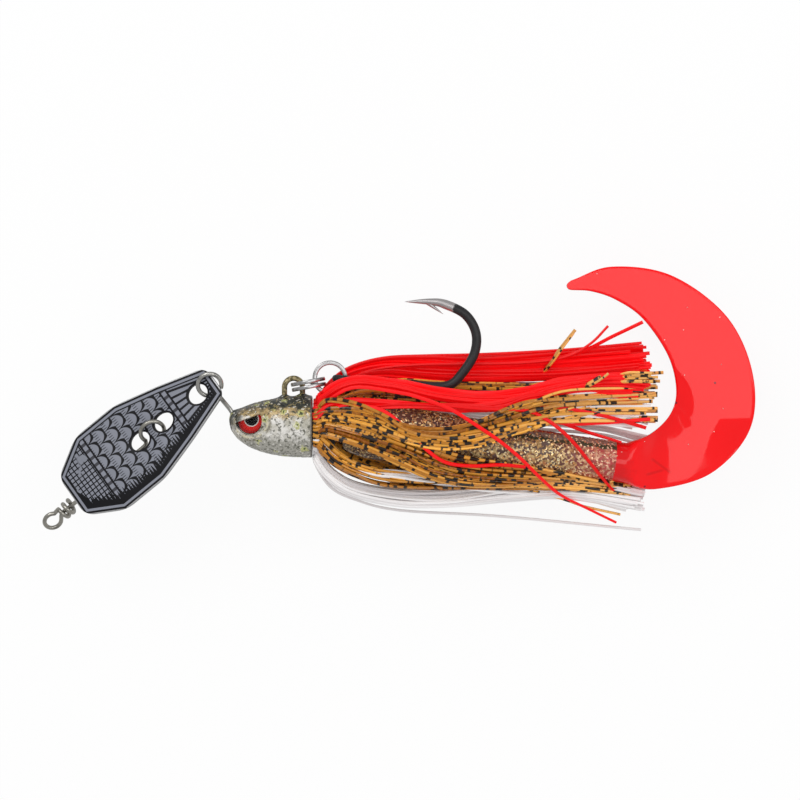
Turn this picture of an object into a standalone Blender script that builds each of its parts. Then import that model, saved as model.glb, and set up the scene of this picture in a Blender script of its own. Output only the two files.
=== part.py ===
"""A bladed jig: a swinging blade, a weighted head, a silicone skirt, a curl-tail trailer and a free hook.

The lure lies on its side on a table. +X runs from nose to tail, +Y is the lure's back, +Z is up.
Sizes are in millimetres and angles in degrees, and the meshes are made in metres.
"""

import math

import bmesh
import bpy
from mathutils import Matrix, Vector

MM = 0.001
SEAT_GAP = 0.3  # between two pieces that touch
COIL_GAP = 0.45  # between neighbouring turns of one wire

# Head casting, measured from its nose tip
NOSE_PLACE = (-33.75, -4.42)  # over the table, from under the lure's middle
HEAD_LENGTH = 16.4
HEAD_RISE = 5.0  # nose tip up to the top of the back edge
HEAD_DROP = 7.3  # nose tip down to the bottom of the back edge
HEAD_WIDTH = 11.2
CROWN_POWER = 2.0  # roundness of the crown's profile
CHIN_POWER = 2.5
NECK_DIAMETER = 5.8
NECK_LENGTH = 6.0

# Eyes, set in round sockets on both cheeks
EYE_DIAMETER = 5.0
EYE_BACK = 4.4  # nose tip to eye centre
EYE_TURN = 18.0  # towards the nose
SOCKET_FLOOR = 2.2  # from the head's middle plane
FOIL_THICKNESS = 0.4
DOME_HEIGHT = 1.3

# Head wire: nose loop, run through the casting and hook eye on the back
NOSE_WIRE = 0.9
HOOK_EYE_WIRE = 1.1
NOSE_LOOP_RADIUS = 2.35
NOSE_LEG_LENGTH = 6.45  # loop centre to nose
NOSE_LEG_RISE = 2.5  # nose tip up to where the leg enters
NOSE_LEG_TURN = -93.0  # leg direction, from the blade's length
HOOK_EYE_BACK = 12.84  # nose tip to the middle of the hook eye
HOOK_EYE_RADIUS = 1.8
HOOK_EYE_HEIGHT = 6.73  # nose tip to the centre of the eye's arch

# Blade, with u along its length from the rear hole, forwards negative
BLADE_HEADING = 39.0
BLADE_PITCH = 10.5  # front end lower
BLADE_ROLL = 16.0
BLADE_LENGTH = 37.6
BLADE_WIDTH = 18.4
BLADE_THICKNESS = 0.8
BLADE_REAR = 4.4  # rear hole to rear end
BLADE_WAIST = -6.0  # rear hole to where the sides first spread
BLADE_SHOULDER = -15.5  # rear hole to the full width
BLADE_NOSE = 7.5  # length of the narrowing front
BLADE_CORNER = 2.0
REAR_HOLE = (4.4, 3.8)
TIE_SLOT = (4.4, 3.4)
TIE_BRIDGE = 1.8  # metal left between the two tie slots
TIE_BRIDGE_BACK = -12.1  # rear hole to the middle of the bridge
LOOP_TILT = 35.0  # nose loop against the blade
LOOP_OFFSET = 3.0  # rear hole to loop centre

# Line tie wire: loop round the bridge, shaft behind the blade, wraps and eye
TIE_WIRE = 0.85
TIE_LOOP_RADIUS = 2.4
TIE_TILT = 50.0  # tie loop against the blade
TIE_EYE_RADIUS = 1.7
TIE_WRAPS = 2
TIE_WRAP_START = 0.5  # beyond the blade's front end

# Split rings, two turns of flat wire each
RING_DIAMETER = 7.0
RING_WIRE_WIDTH = 0.9
RING_WIRE_THICKNESS = 0.6
FRONT_RING_TILT = 11.0
REAR_RING_TURN = 28.0
RING_LINK_GAP = 0.275  # between the two rings where one hangs on the other
JOG_START, JOG_END = 318.0, 360.0  # where the wire climbs from one turn to the next

# Hook, in its own plane: along the shank and up to the point
HOOK_WIRE = 1.9
HOOK_EYE_LOOP_WIRE = 1.5
HOOK_EYE_SLACK = 0.21  # round the rear ring's two turns
HOOK_HEADING = -5.0
SHANK_LENGTH = 20.5
HOOK_GAP = 17.0
HOOK_POINT_LENGTH = 15.0
BARB_BACK = 7.6  # point to barb
BARB_LENGTH = 1.8

# Skirt strands, flaring from the tabs behind the head
STRANDS_OUTER = 7
STRANDS_INNER = 5
STRAND_WIDTH = 1.1
STRAND_THICKNESS = 0.5
SKIRT_LENGTH = 66.0
SKIRT_RISE = 17.0
SKIRT_DROP = 16.6
SKIRT_STANDOFF = 2.3  # trailer's flank to the outer strands
SKIRT_LIE = 0.25  # back strands to the table
SKIRT_FLARE = 0.1  # share of the length over which the strands open out
TAB_LENGTH = 1.0
TAB_LAYER = 0.55  # thickness of one layer of strands in a tab
LAYER_GAP = 0.75  # between the two layers of strands
STRAND_STEPS = 6

# Skirt collar, a rubber sleeve between the neck and the strands
COLLAR_WALL = 0.7
COLLAR_LENGTH = 4.4

# Keeper screw in the trailer's nose
KEEPER_WIRE = 0.8
KEEPER_RADIUS = 1.6
KEEPER_PITCH = 1.9
KEEPER_TURNS = 4
KEEPER_STEM = 1.4

# Soft trailer
TRAILER_LENGTH = 55.0
TRAILER_FRONT_DIAMETER = 11.6
TRAILER_REAR_DIAMETER = 8.2
TRAILER_FALL = 7.3  # slope away from the lure's back
TRAILER_LIE = 0.77  # rear end of the body to the back strands under it
TAIL_THICKNESS = 2.2
TAIL_EDGE = 0.5
TAIL_ROOT_WIDTH = 7.0

# Edges of the curl tail beyond its root, from the root's middle
TAIL_OUTER = ((6.3, -5.3), (17.3, -2.1), (25.1, 6.5), (25.7, 17.7), (20.5, 29.1), (9.5, 37.3),
              (-2.5, 39.1), (-11.2, 35.7))
TAIL_INNER = ((5.5, 5.9), (9.4, 9.9), (10.3, 14.7), (8.4, 21.5), (3.4, 28.9), (-1.7, 32.7),
              (-6.5, 34.3), (-11.0, 34.7))

WIRE_SIDES = 8
FINE_WIRE_SIDES = 6
LOOP_POINTS = 24
CURL_POINTS = 10

SIDE = Vector((1, 0, 0))
BACK = Vector((0, 1, 0))
UP = Vector((0, 0, 1))


def smooth_step(value):
    value = min(max(value, 0.0), 1.0)
    return value * value * (3 - 2 * value)


def turned(degrees):
    """Unit vector in the table's plane."""
    return Vector((math.cos(math.radians(degrees)), math.sin(math.radians(degrees)), 0))


def arc(centre, first, second, radius, start, end, count):
    """Points on an arc in the plane of two unit vectors, both ends included."""
    points = []
    for i in range(count):
        angle = math.radians(start + (end - start) * i / (count - 1))
        points.append(centre + radius * (math.cos(angle) * first + math.sin(angle) * second))
    return points


def spline(keys, steps):
    """Smooth curve through the key points, with a number of steps between each pair."""
    keys = [Vector(key) for key in keys]
    ends = [2 * keys[0] - keys[1], *keys, 2 * keys[-1] - keys[-2]]
    points = []
    for a, b, c, d in zip(ends, ends[1:], ends[2:], ends[3:]):
        for i in range(steps):
            t = i / steps
            points.append(0.5 * (2 * b + (c - a) * t + (2 * a - 5 * b + 4 * c - d) * t ** 2
                                 + (3 * b - a - 3 * c + d) * t ** 3))
    return points + [keys[-1]]


def finish(colour, roughness, metallic=0.0):
    return {"Base Color": (*colour, 1.0), "Roughness": roughness, "Metallic": metallic}


def make(name, mesh, look, origin, parent=None):
    """Places a mesh, given in millimetres in the lure's frame, as an object with its origin at a point."""
    bm = bmesh.new()
    bm.from_mesh(mesh)
    bmesh.ops.translate(bm, verts=bm.verts, vec=-origin)
    bmesh.ops.scale(bm, verts=bm.verts, vec=Vector((MM, MM, MM)))
    bmesh.ops.recalc_face_normals(bm, faces=bm.faces)
    bm.to_mesh(mesh)
    bm.free()
    mesh.name = name
    mesh.shade_smooth()
    mesh.set_sharp_from_angle(angle=math.radians(40))
    obj = bpy.data.objects.new(name, mesh)
    bpy.context.scene.collection.objects.link(obj)
    obj.parent = parent
    obj.location = origin * MM - (parent.matrix_world.translation if parent else Vector())
    bpy.context.view_layer.update()
    if look:
        material = bpy.data.materials.new(name)
        material.use_nodes = True
        for socket, value in look.items():
            material.node_tree.nodes["Principled BSDF"].inputs[socket].default_value = value
        mesh.materials.append(material)
    return obj


def boolean(obj, tool, operation):
    """Cuts or joins an object with a helper, which stays as a hidden wire outline."""
    tool.hide_render = True
    tool.display_type = "WIRE"
    modifier = obj.modifiers.new(tool.name, "BOOLEAN")
    modifier.operation = operation
    modifier.object = tool


def loft(rings):
    """Closed skin over rings of equally many points, with flat ends."""
    size = len(rings[0])
    points = [point for ring in rings for point in ring]
    faces = [tuple(range(size)), tuple(range(len(points) - size, len(points)))]
    for k in range(len(rings) - 1):
        for i in range(size):
            j = (i + 1) % size
            faces.append((k * size + i, k * size + j, (k + 1) * size + j, (k + 1) * size + i))
    mesh = bpy.data.meshes.new("loft")
    mesh.from_pydata(points, [], faces)
    return mesh


def round_section(diameter, sides):
    turns = [2 * math.pi * i / sides for i in range(sides)]
    return [(diameter / 2 * math.cos(turn), diameter / 2 * math.sin(turn)) for turn in turns]


def flat_section(width, thickness):
    """Flat wire with its four corners taken off."""
    corner = 0.25 * thickness
    x, y = width / 2, thickness / 2
    quarter = [(x, y - corner), (x - corner, y)]
    return quarter + [(-a, b) for a, b in quarter[::-1]] + [(-a, -b) for a, b in quarter] + [
        (a, -b) for a, b in quarter[::-1]]


def sweep(path, section, scales=None, up=None):
    """Skin of a section that is carried along a path; up keeps a flat section level."""
    scales = scales or [1.0] * len(path)
    rings = []
    side = None
    for i, point in enumerate(path):
        tangent = (path[min(i + 1, len(path) - 1)] - path[max(i - 1, 0)]).normalized()
        if up:
            side = tangent.cross(up).normalized()
        else:
            side = side or tangent.orthogonal()
            side = (side - tangent * side.dot(tangent)).normalized()
        top = side.cross(tangent)
        rings.append([point + scales[i] * (x * side + y * top) for x, y in section])
    return loft(rings)


def revolve(profile, origin, axis, segments):
    """Solid turned about an axis from (distance along, radius) pairs; it starts and ends on the axis."""
    first = axis.orthogonal().normalized()
    second = axis.cross(first)
    points = [origin + axis * profile[0][0]]
    for along, radius in profile[1:-1]:
        points += arc(origin + axis * along, first, second, radius, 0, 360, segments + 1)[:-1]
    points.append(origin + axis * profile[-1][0])
    rings = len(profile) - 2
    faces = []
    for i in range(segments):
        j = (i + 1) % segments
        faces.append((0, 1 + j, 1 + i))
        last = 1 + (rings - 1) * segments
        faces.append((last + i, last + j, len(points) - 1))
        for k in range(rings - 1):
            low = 1 + k * segments
            faces.append((low + i, low + j, low + segments + j, low + segments + i))
    mesh = bpy.data.meshes.new("turning")
    mesh.from_pydata(points, [], faces)
    return mesh


def plate(loops, thickness, place):
    """Flat plate from an outline and its holes, centred on the plane of its place."""
    bm = bmesh.new()
    edges = []
    for loop in loops:
        corners = [bm.verts.new((x, y, -thickness / 2)) for x, y in loop]
        edges += [bm.edges.new((corners[i - 1], corners[i])) for i in range(len(corners))]
    faces = bmesh.ops.triangle_fill(bm, use_beauty=True, edges=edges)["geom"]
    faces = [face for face in faces if isinstance(face, bmesh.types.BMFace)]
    raised = bmesh.ops.extrude_face_region(bm, geom=faces, use_keep_orig=True)["geom"]
    bmesh.ops.translate(bm, vec=(0, 0, thickness),
                        verts=[v for v in raised if isinstance(v, bmesh.types.BMVert)])
    bmesh.ops.transform(bm, matrix=place, verts=bm.verts)
    mesh = bpy.data.meshes.new("plate")
    bm.to_mesh(mesh)
    bm.free()
    return mesh


def rounded(corners, radius, steps=4):
    """Outline with each corner replaced by a short curve."""
    outline = []
    for i, corner in enumerate(corners):
        corner = Vector(corner)
        before = (Vector(corners[i - 1]) - corner).normalized() * radius
        after = (Vector(corners[(i + 1) % len(corners)]) - corner).normalized() * radius
        for k in range(steps + 1):
            t = k / steps
            outline.append(corner + before * (1 - t) ** 2 + after * t ** 2)
    return outline


def least_gap(path, thickness, apart):
    """Smallest clear distance between parts of one wire that are some way apart along it."""
    travelled = [0.0]
    for a, b in zip(path, path[1:]):
        travelled.append(travelled[-1] + (b - a).length)
    gaps = [(a - b).length - thickness for i, a in enumerate(path) for j, b in enumerate(path)
            if travelled[j] - travelled[i] > apart]
    return min(gaps)


for leftover in list(bpy.data.objects):
    bpy.data.objects.remove(leftover)

# Places that the pieces share
SKIRT_HALF_DEPTH = TRAILER_FRONT_DIAMETER / 2 + SKIRT_STANDOFF
MIDDLE_HEIGHT = SKIRT_HALF_DEPTH + STRAND_THICKNESS / 2 + SKIRT_LIE
NOSE = Vector((*NOSE_PLACE, MIDDLE_HEIGHT))
HEAD_BACK = NOSE + Vector((HEAD_LENGTH, (HEAD_RISE - HEAD_DROP) / 2, 0))
NECK_END = HEAD_BACK + SIDE * NECK_LENGTH
INNER_LAYER = SKIRT_HALF_DEPTH - STRAND_THICKNESS - LAYER_GAP
TRAILER_SAG = INNER_LAYER - STRAND_THICKNESS / 2 - TRAILER_LIE - TRAILER_REAR_DIAMETER / 2
TRAILER_SLOPES = (-math.tan(math.radians(TRAILER_FALL)), -TRAILER_SAG / TRAILER_LENGTH)
TRAILER_AXIS = Vector((1, *TRAILER_SLOPES)).normalized()
TRAILER_LEAN = TRAILER_AXIS.yz.length / TRAILER_AXIS.x
TRAILER_START = NECK_END + TRAILER_AXIS * (SEAT_GAP + NECK_DIAMETER / 2 * TRAILER_LEAN)
HOOK_EYE = NOSE + Vector((HOOK_EYE_BACK, HOOK_EYE_HEIGHT, 0))
COLLAR_BORE = NECK_DIAMETER / 2 + SEAT_GAP
TAB_BORE = COLLAR_BORE + COLLAR_WALL + SEAT_GAP


def head_ring(share, sides=24):
    """Outline of the casting at a share of its length."""
    crown = HEAD_RISE * math.sqrt(1 - (1 - share) ** CROWN_POWER)
    chin = HEAD_DROP * math.sqrt(1 - (1 - share) ** CHIN_POWER)
    cheek = HEAD_WIDTH / 2 * math.sqrt(1 - (1 - share) ** CHIN_POWER)
    ring = []
    for i in range(sides):
        angle = 2 * math.pi * i / sides
        height = math.cos(angle) * (crown if math.cos(angle) > 0 else chin)
        ring.append(NOSE + Vector((share * HEAD_LENGTH, height, cheek * math.sin(angle))))
    return ring


def head_casting():
    stations = [1 - math.cos(math.radians(angle)) for angle in (8, 18, 28, 38, 48, 58, 68, 79, 90)]
    rings = [head_ring(share) for share in stations]
    for place in (HEAD_BACK, NECK_END):
        rings.append(arc(place, BACK, UP, NECK_DIAMETER / 2, 0, 360, 25)[:-1])
    return make("head_casting", loft(rings), finish((0.35, 0.32, 0.2), 0.35, 0.6), HEAD_BACK)


def eye_parts(head, side, facing):
    """Socket in one cheek, and the foil disc and clear dome that sit in it."""
    turn = math.radians(EYE_TURN)
    axis = Vector((-math.sin(turn), 0, facing * math.cos(turn)))
    floor = NOSE + Vector((EYE_BACK, 0, facing * SOCKET_FLOOR))
    radius = EYE_DIAMETER / 2
    socket = [(0, 0), (0, radius + SEAT_GAP), (HEAD_WIDTH, radius + SEAT_GAP), (HEAD_WIDTH, 0)]
    boolean(head, make("socket_" + side, revolve(socket, floor, axis, 24), None, floor), "DIFFERENCE")
    seat = floor + axis * SEAT_GAP
    disc = [(0, 0), (0, radius), (FOIL_THICKNESS, radius), (FOIL_THICKNESS, 0)]
    make("eye_foil_" + side, revolve(disc, seat, axis, 20), finish((0.75, 0.03, 0.02), 0.25, 0.4), seat, head)
    seat += axis * (FOIL_THICKNESS + SEAT_GAP)
    cap = [(0, 0)]
    for angle in (0, 18, 36, 54, 72, 90):
        cap.append((DOME_HEIGHT * math.sin(math.radians(angle)), radius * math.cos(math.radians(angle))))
    make("eye_dome_" + side, revolve(cap, seat, axis, 20), finish((0.9, 0.9, 0.9), 0.05), seat, head)


# Blade frame: its own X runs to the rear, its own Z out of its face
BLADE_TURN = (Matrix.Rotation(math.radians(BLADE_HEADING), 3, "Z")
              @ Matrix.Rotation(math.radians(-BLADE_PITCH), 3, "Y")
              @ Matrix.Rotation(math.radians(-BLADE_ROLL), 3, "X"))
LENGTHWISE, ACROSS, FACE = (BLADE_TURN @ axis for axis in (SIDE, BACK, UP))


def tilted(degrees):
    """Direction across the blade, raised out of its face."""
    return ACROSS * math.cos(math.radians(degrees)) + FACE * math.sin(math.radians(degrees))


LOOP_UP = tilted(LOOP_TILT)
LEG = LENGTHWISE * math.cos(math.radians(NOSE_LEG_TURN)) + LOOP_UP * math.sin(math.radians(NOSE_LEG_TURN))
LOOP_CENTRE = NOSE + BACK * NOSE_LEG_RISE - LEG * NOSE_LEG_LENGTH
REAR_HOLE_CENTRE = LOOP_CENTRE - LENGTHWISE * LOOP_OFFSET
BLADE_PLACE = Matrix.Translation(REAR_HOLE_CENTRE) @ BLADE_TURN.to_4x4()


def head_wire(head):
    """One wire: the nose loop, the run through the casting and the arch of the hook eye."""
    loop = arc(LOOP_CENTRE, LENGTHWISE, LOOP_UP, NOSE_LOOP_RADIUS, -58, 238, LOOP_POINTS - 4)
    arch = arc(HOOK_EYE, SIDE, BACK, HOOK_EYE_RADIUS, 180, 0, 9)
    run = [LOOP_CENTRE + LEG * (NOSE_LOOP_RADIUS + 0.7),
           LOOP_CENTRE + LEG * NOSE_LEG_LENGTH,
           NOSE + Vector((1.8, 0.2, 0)),
           NOSE + Vector((5.0, -0.6, 0)),
           Vector((arch[0].x - 2.5, NOSE.y - 0.4, NOSE.z)),
           Vector((arch[0].x, NOSE.y + 2.0, NOSE.z))]
    stub = [Vector((arch[-1].x, NOSE.y + 1.5, NOSE.z))]
    inside = spline(run, 3) + arch + stub
    radii = [NOSE_WIRE / HOOK_EYE_WIRE] * (len(loop) + 10)
    radii += [1.0] * (len(loop) + len(inside) - len(radii))
    wire = sweep(loop + inside, round_section(HOOK_EYE_WIRE, WIRE_SIDES), radii)
    make("head_wire", wire, finish((0.5, 0.48, 0.42), 0.3, 1.0), HOOK_EYE, head)
    bore = round_section(HOOK_EYE_WIRE + 2 * SEAT_GAP, WIRE_SIDES)
    channel = sweep(inside + [stub[0] - BACK * SEAT_GAP], bore)
    boolean(head, make("wire_channel", channel, None, HOOK_EYE), "DIFFERENCE")


def ellipse(length, width, centre, count=16):
    turns = [2 * math.pi * i / count for i in range(count)]
    return [(centre + length / 2 * math.cos(turn), width / 2 * math.sin(turn)) for turn in turns]


def blade(head):
    """Long eight-sided plate with rounded corners, a rear hole and two slots for the line tie."""
    half = BLADE_WIDTH / 2
    front = BLADE_REAR - BLADE_LENGTH
    side = [(BLADE_REAR, 0.36 * half), (BLADE_WAIST, 0.72 * half), (BLADE_SHOULDER, half),
            (front + BLADE_NOSE, half), (front, 0.52 * half)]
    outline = rounded(side + [(u, -v) for u, v in side[::-1]], BLADE_CORNER)
    slot = TIE_BRIDGE / 2 + TIE_SLOT[0] / 2
    holes = [ellipse(*REAR_HOLE, 0), ellipse(*TIE_SLOT, TIE_BRIDGE_BACK + slot),
             ellipse(*TIE_SLOT, TIE_BRIDGE_BACK - slot)]
    mesh = plate([outline, *holes], BLADE_THICKNESS, BLADE_PLACE)
    return make("blade", mesh, finish((0.3, 0.32, 0.36), 0.35, 0.5), LOOP_CENTRE, head)


TIE_UP = tilted(TIE_TILT)
TIE_CENTRE = REAR_HOLE_CENTRE + LENGTHWISE * TIE_BRIDGE_BACK
TIE_CLEAR = (BLADE_THICKNESS + TIE_WIRE) / 2 + SEAT_GAP  # shaft behind the blade's middle plane


def line_tie(blade_plate):
    """One wire: a loop through both slots, a shaft behind the blade, then the eye and its wraps."""
    drop = TIE_CLEAR / math.sin(math.radians(TIE_TILT))
    shaft = TIE_CENTRE - TIE_UP * drop
    entry = 180 + math.degrees(math.asin(drop / TIE_LOOP_RADIUS))
    loop = arc(TIE_CENTRE, LENGTHWISE, TIE_UP, TIE_LOOP_RADIUS, entry - 312, entry - 22, LOOP_POINTS - 4)
    front = BLADE_REAR - BLADE_LENGTH - TIE_BRIDGE_BACK
    wrap_radius = TIE_WIRE + COIL_GAP
    pitch = TIE_WIRE + COIL_GAP
    wrap_end = front - TIE_WRAP_START - TIE_WIRE
    wrap_start = wrap_end - TIE_WRAPS * pitch
    eye = shaft + LENGTHWISE * (wrap_start - TIE_EYE_RADIUS - TIE_WIRE)
    stops = (-TIE_LOOP_RADIUS - TIE_WIRE, 0.35 * front, 0.7 * front, wrap_end, wrap_start)
    run = [shaft + LENGTHWISE * stop for stop in stops]
    ring = arc(eye, LENGTHWISE, TIE_UP, TIE_EYE_RADIUS, -40, -320, LOOP_POINTS - 4)
    wraps = []
    for i in range(int(TIE_WRAPS * CURL_POINTS) + 1):
        angle = 2 * math.pi * i / CURL_POINTS
        across = LENGTHWISE.cross(TIE_UP)
        along = wrap_start + pitch * i / CURL_POINTS
        wraps.append(shaft + LENGTHWISE * along
                     + wrap_radius * (math.cos(angle) * TIE_UP + math.sin(angle) * across))
    path = loop + run + ring + wraps
    print("line tie wire, least gap to itself: %.2f mm" % least_gap(path, TIE_WIRE, 2.2 * TIE_WIRE))
    mesh = sweep(path, round_section(TIE_WIRE, FINE_WIRE_SIDES))
    make("line_tie_wire", mesh, finish((0.55, 0.53, 0.48), 0.25, 1.0), TIE_CENTRE, blade_plate)


RING_RADIUS = (RING_DIAMETER - RING_WIRE_WIDTH) / 2
RING_STACK = 2 * RING_WIRE_THICKNESS + COIL_GAP  # both turns of a ring
REAR_RING_REACH = RING_RADIUS - (RING_WIRE_WIDTH + RING_STACK) / 2 - RING_LINK_GAP
FRONT_RING_WAY = turned(FRONT_RING_TILT)
FRONT_RING = HOOK_EYE + FRONT_RING_WAY * RING_RADIUS
RING_LINK = FRONT_RING + FRONT_RING_WAY * RING_RADIUS
REAR_RING = RING_LINK + turned(REAR_RING_TURN) * REAR_RING_REACH


def split_ring(name, centre, start, axis, origin, parent):
    """Two flat turns of one wire, with the climb between them opposite nothing that hangs on the ring."""
    level = RING_WIRE_THICKNESS + COIL_GAP
    second = axis.cross(start)
    path = []
    for angle in range(8, 673, 15):
        climb = smooth_step((angle - JOG_START) / (JOG_END - JOG_START)) - 0.5
        spoke = start * math.cos(math.radians(angle)) + second * math.sin(math.radians(angle))
        path.append(centre + RING_RADIUS * spoke + axis * level * climb)
    gap = least_gap(path, RING_WIRE_THICKNESS, 2 * RING_WIRE_WIDTH)
    print("%s, least gap to itself: %.2f mm" % (name, gap))
    mesh = sweep(path, flat_section(RING_WIRE_WIDTH, RING_WIRE_THICKNESS), up=axis)
    return make(name, mesh, finish((0.7, 0.7, 0.72), 0.2, 1.0), origin, parent)


def hook(parent):
    """Forged eye, straight shank, round bend and a tapered point with a barb."""
    along = turned(HOOK_HEADING)
    rise = UP.cross(along)
    inside = math.hypot(RING_STACK, RING_WIRE_WIDTH) / 2 + HOOK_EYE_SLACK
    mean = inside + HOOK_EYE_LOOP_WIRE / 2
    eye = REAR_RING + along * RING_RADIUS
    loop = arc(eye, along, UP, mean, 62, 318, 15)
    bend = SHANK_LENGTH
    gap = HOOK_GAP
    keys = [(mean + 1.7, 0), (0.35 * bend, 0), (0.7 * bend, 0), (bend, 0.03 * gap), (bend + 2.8, 0.2 * gap),
            (bend + 4.5, 0.44 * gap), (bend + 4.4, 0.68 * gap), (bend + 2.2, 0.88 * gap),
            (bend - 2.0, 0.99 * gap), (bend + 5.0 - HOOK_POINT_LENGTH, gap)]
    path = loop + spline([eye + along * x + rise * y for x, y in keys], 4)
    scales = [HOOK_EYE_LOOP_WIRE / HOOK_WIRE] * len(loop)
    taper = 5  # points of the path over which the wire narrows
    scales += [1.0] * (len(path) - len(loop) - taper)
    scales += [0.95, 0.8, 0.6, 0.36, 0.08]
    mesh = sweep(path, round_section(HOOK_WIRE, WIRE_SIDES), scales)
    solid = make("hook", mesh, finish((0.02, 0.02, 0.022), 0.35, 0.8), REAR_RING, parent)
    root = eye + along * (bend + 5.0 - HOOK_POINT_LENGTH + BARB_BACK) + rise * (0.99 * gap)
    barb = [root - along * 1.2 - rise * 0.2, root + along * BARB_LENGTH - rise * (0.5 * HOOK_WIRE + 0.5)]
    spike = make("barb", sweep(barb, round_section(0.7, 4), [1.0, 0.15]), None, root)
    boolean(solid, spike, "UNION")


def strand_centre(turn, layer, share, length):
    """Middle of a strand: its turn about the skirt from the lure's back, layer and share of its length."""
    flare = 1 - math.exp(-share / SKIRT_FLARE)
    inset = layer * (TAB_LAYER + SEAT_GAP)
    root = TAB_BORE + 1.5 * TAB_LAYER + SEAT_GAP - inset
    open_inset = layer * (STRAND_THICKNESS + LAYER_GAP)
    reach = (SKIRT_RISE if math.cos(turn) > 0 else SKIRT_DROP) - open_inset
    height = math.cos(turn) * (root + (reach - root) * flare)
    depth = root + (SKIRT_HALF_DEPTH - open_inset - root) * flare
    side = math.copysign(abs(math.sin(turn)) ** (1 - 0.5 * flare), math.sin(turn))
    start = HEAD_BACK.x + SEAT_GAP + TAB_LENGTH
    return Vector((start + length * share, HEAD_BACK.y + height, HEAD_BACK.z + side * depth))


def skirt_tab(name, start, end, look, head):
    """Slice of the bundle: a short curved tab with two layers of strands drawn out of its rear face."""
    x_front = HEAD_BACK.x + SEAT_GAP
    x_rear = x_front + TAB_LENGTH
    outer_layer = TAB_BORE + TAB_LAYER + SEAT_GAP
    radii = [TAB_BORE, TAB_BORE + TAB_LAYER, outer_layer, outer_layer + TAB_LAYER]
    slots = 2 * STRANDS_OUTER - 1
    turns = [math.radians(start + (end - start) * i / slots) for i in range(slots + 1)]
    points = []
    index = {}
    for plane, x in enumerate((x_front, x_rear)):
        for j, radius in enumerate(radii):
            for i, turn in enumerate(turns):
                index[plane, j, i] = len(points)
                spoke = radius * (math.cos(turn) * BACK + math.sin(turn) * UP)
                points.append(Vector((x, HEAD_BACK.y, HEAD_BACK.z)) + spoke)
    faces = []

    def quad(*corners):
        faces.append(tuple(index[corner] for corner in corners))

    def strand(j, i, layer):
        """Draws one cell of the rear face out into a strand."""
        ring = [index[1, j, i], index[1, j, i + 1], index[1, j + 1, i + 1], index[1, j + 1, i]]
        turn = (turns[i] + turns[i + 1]) / 2
        length = SKIRT_LENGTH * (1 + 0.025 * math.sin(9 * turn + 2 * layer))
        for step in range(1, STRAND_STEPS + 1):
            share = (step / STRAND_STEPS) ** 1.7
            centre = strand_centre(turn, layer, share, length)
            across = (strand_centre(turn + 0.02, layer, share, length)
                      - strand_centre(turn - 0.02, layer, share, length)).normalized()
            out = SIDE.cross(across).normalized()
            width = STRAND_WIDTH * (0.45 + 0.55 * min(1.0, share / SKIRT_FLARE)) / 2
            base = len(points)
            points.extend(centre + across * width * a + out * STRAND_THICKNESS / 2 * b
                          for a, b in ((-1, 1), (1, 1), (1, -1), (-1, -1)))
            new = [base, base + 1, base + 2, base + 3]
            for k in range(4):
                faces.append((ring[k], ring[(k + 1) % 4], new[(k + 1) % 4], new[k]))
            ring = new
        faces.append(tuple(ring))

    inset = (STRANDS_OUTER - STRANDS_INNER) // 2
    drawn = {0: [2 * (inset + k) for k in range(STRANDS_INNER)], 2: [2 * k for k in range(STRANDS_OUTER)]}
    for j in range(3):
        for i in range(slots):
            quad((0, j, i), (0, j, i + 1), (0, j + 1, i + 1), (0, j + 1, i))
            if i in drawn.get(j, []):
                strand(j, i, 1 - j // 2)
            else:
                quad((1, j, i), (1, j, i + 1), (1, j + 1, i + 1), (1, j + 1, i))
        for i in (0, slots):
            quad((0, j, i), (0, j + 1, i), (1, j + 1, i), (1, j, i))
    for i in range(slots):
        for j in (0, 3):
            quad((0, j, i), (0, j, i + 1), (1, j, i + 1), (1, j, i))
    mesh = bpy.data.meshes.new(name)
    mesh.from_pydata(points, [], faces)
    make(name, mesh, look, HEAD_BACK, head)


def skirt(head):
    """Three colours of strands on each side, open along the lure's back for the hook."""
    looks = {"red": finish((0.75, 0.02, 0.015), 0.4), "amber": finish((0.65, 0.33, 0.08), 0.4),
             "white": finish((0.85, 0.86, 0.88), 0.4)}
    slices = {"red": (32, 74), "amber": (77, 119), "white": (122, 176)}
    for colour, (start, end) in slices.items():
        skirt_tab("skirt_%s_front" % colour, start, end, looks[colour], head)
        skirt_tab("skirt_%s_back" % colour, 360 - end, 360 - start, looks[colour], head)
    collar_start = HEAD_BACK + SIDE * SEAT_GAP
    outside = COLLAR_BORE + COLLAR_WALL
    rings = []
    wall = ((0, COLLAR_BORE), (0, outside), (COLLAR_LENGTH, outside), (COLLAR_LENGTH, COLLAR_BORE))
    for along, radius in wall:
        rings.append(arc(collar_start + SIDE * along, BACK, UP, radius, 0, 360, 25)[:-1])
    sleeve = bmesh.new()
    corners = [[sleeve.verts.new(point) for point in ring] for ring in rings]
    for k in range(len(rings)):
        for i in range(len(rings[0])):
            sleeve.faces.new((corners[k - 1][i - 1], corners[k - 1][i], corners[k][i], corners[k][i - 1]))
    mesh = bpy.data.meshes.new("sleeve")
    sleeve.to_mesh(mesh)
    sleeve.free()
    make("skirt_collar", mesh, finish((0.03, 0.03, 0.03), 0.6), collar_start, head)


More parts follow.
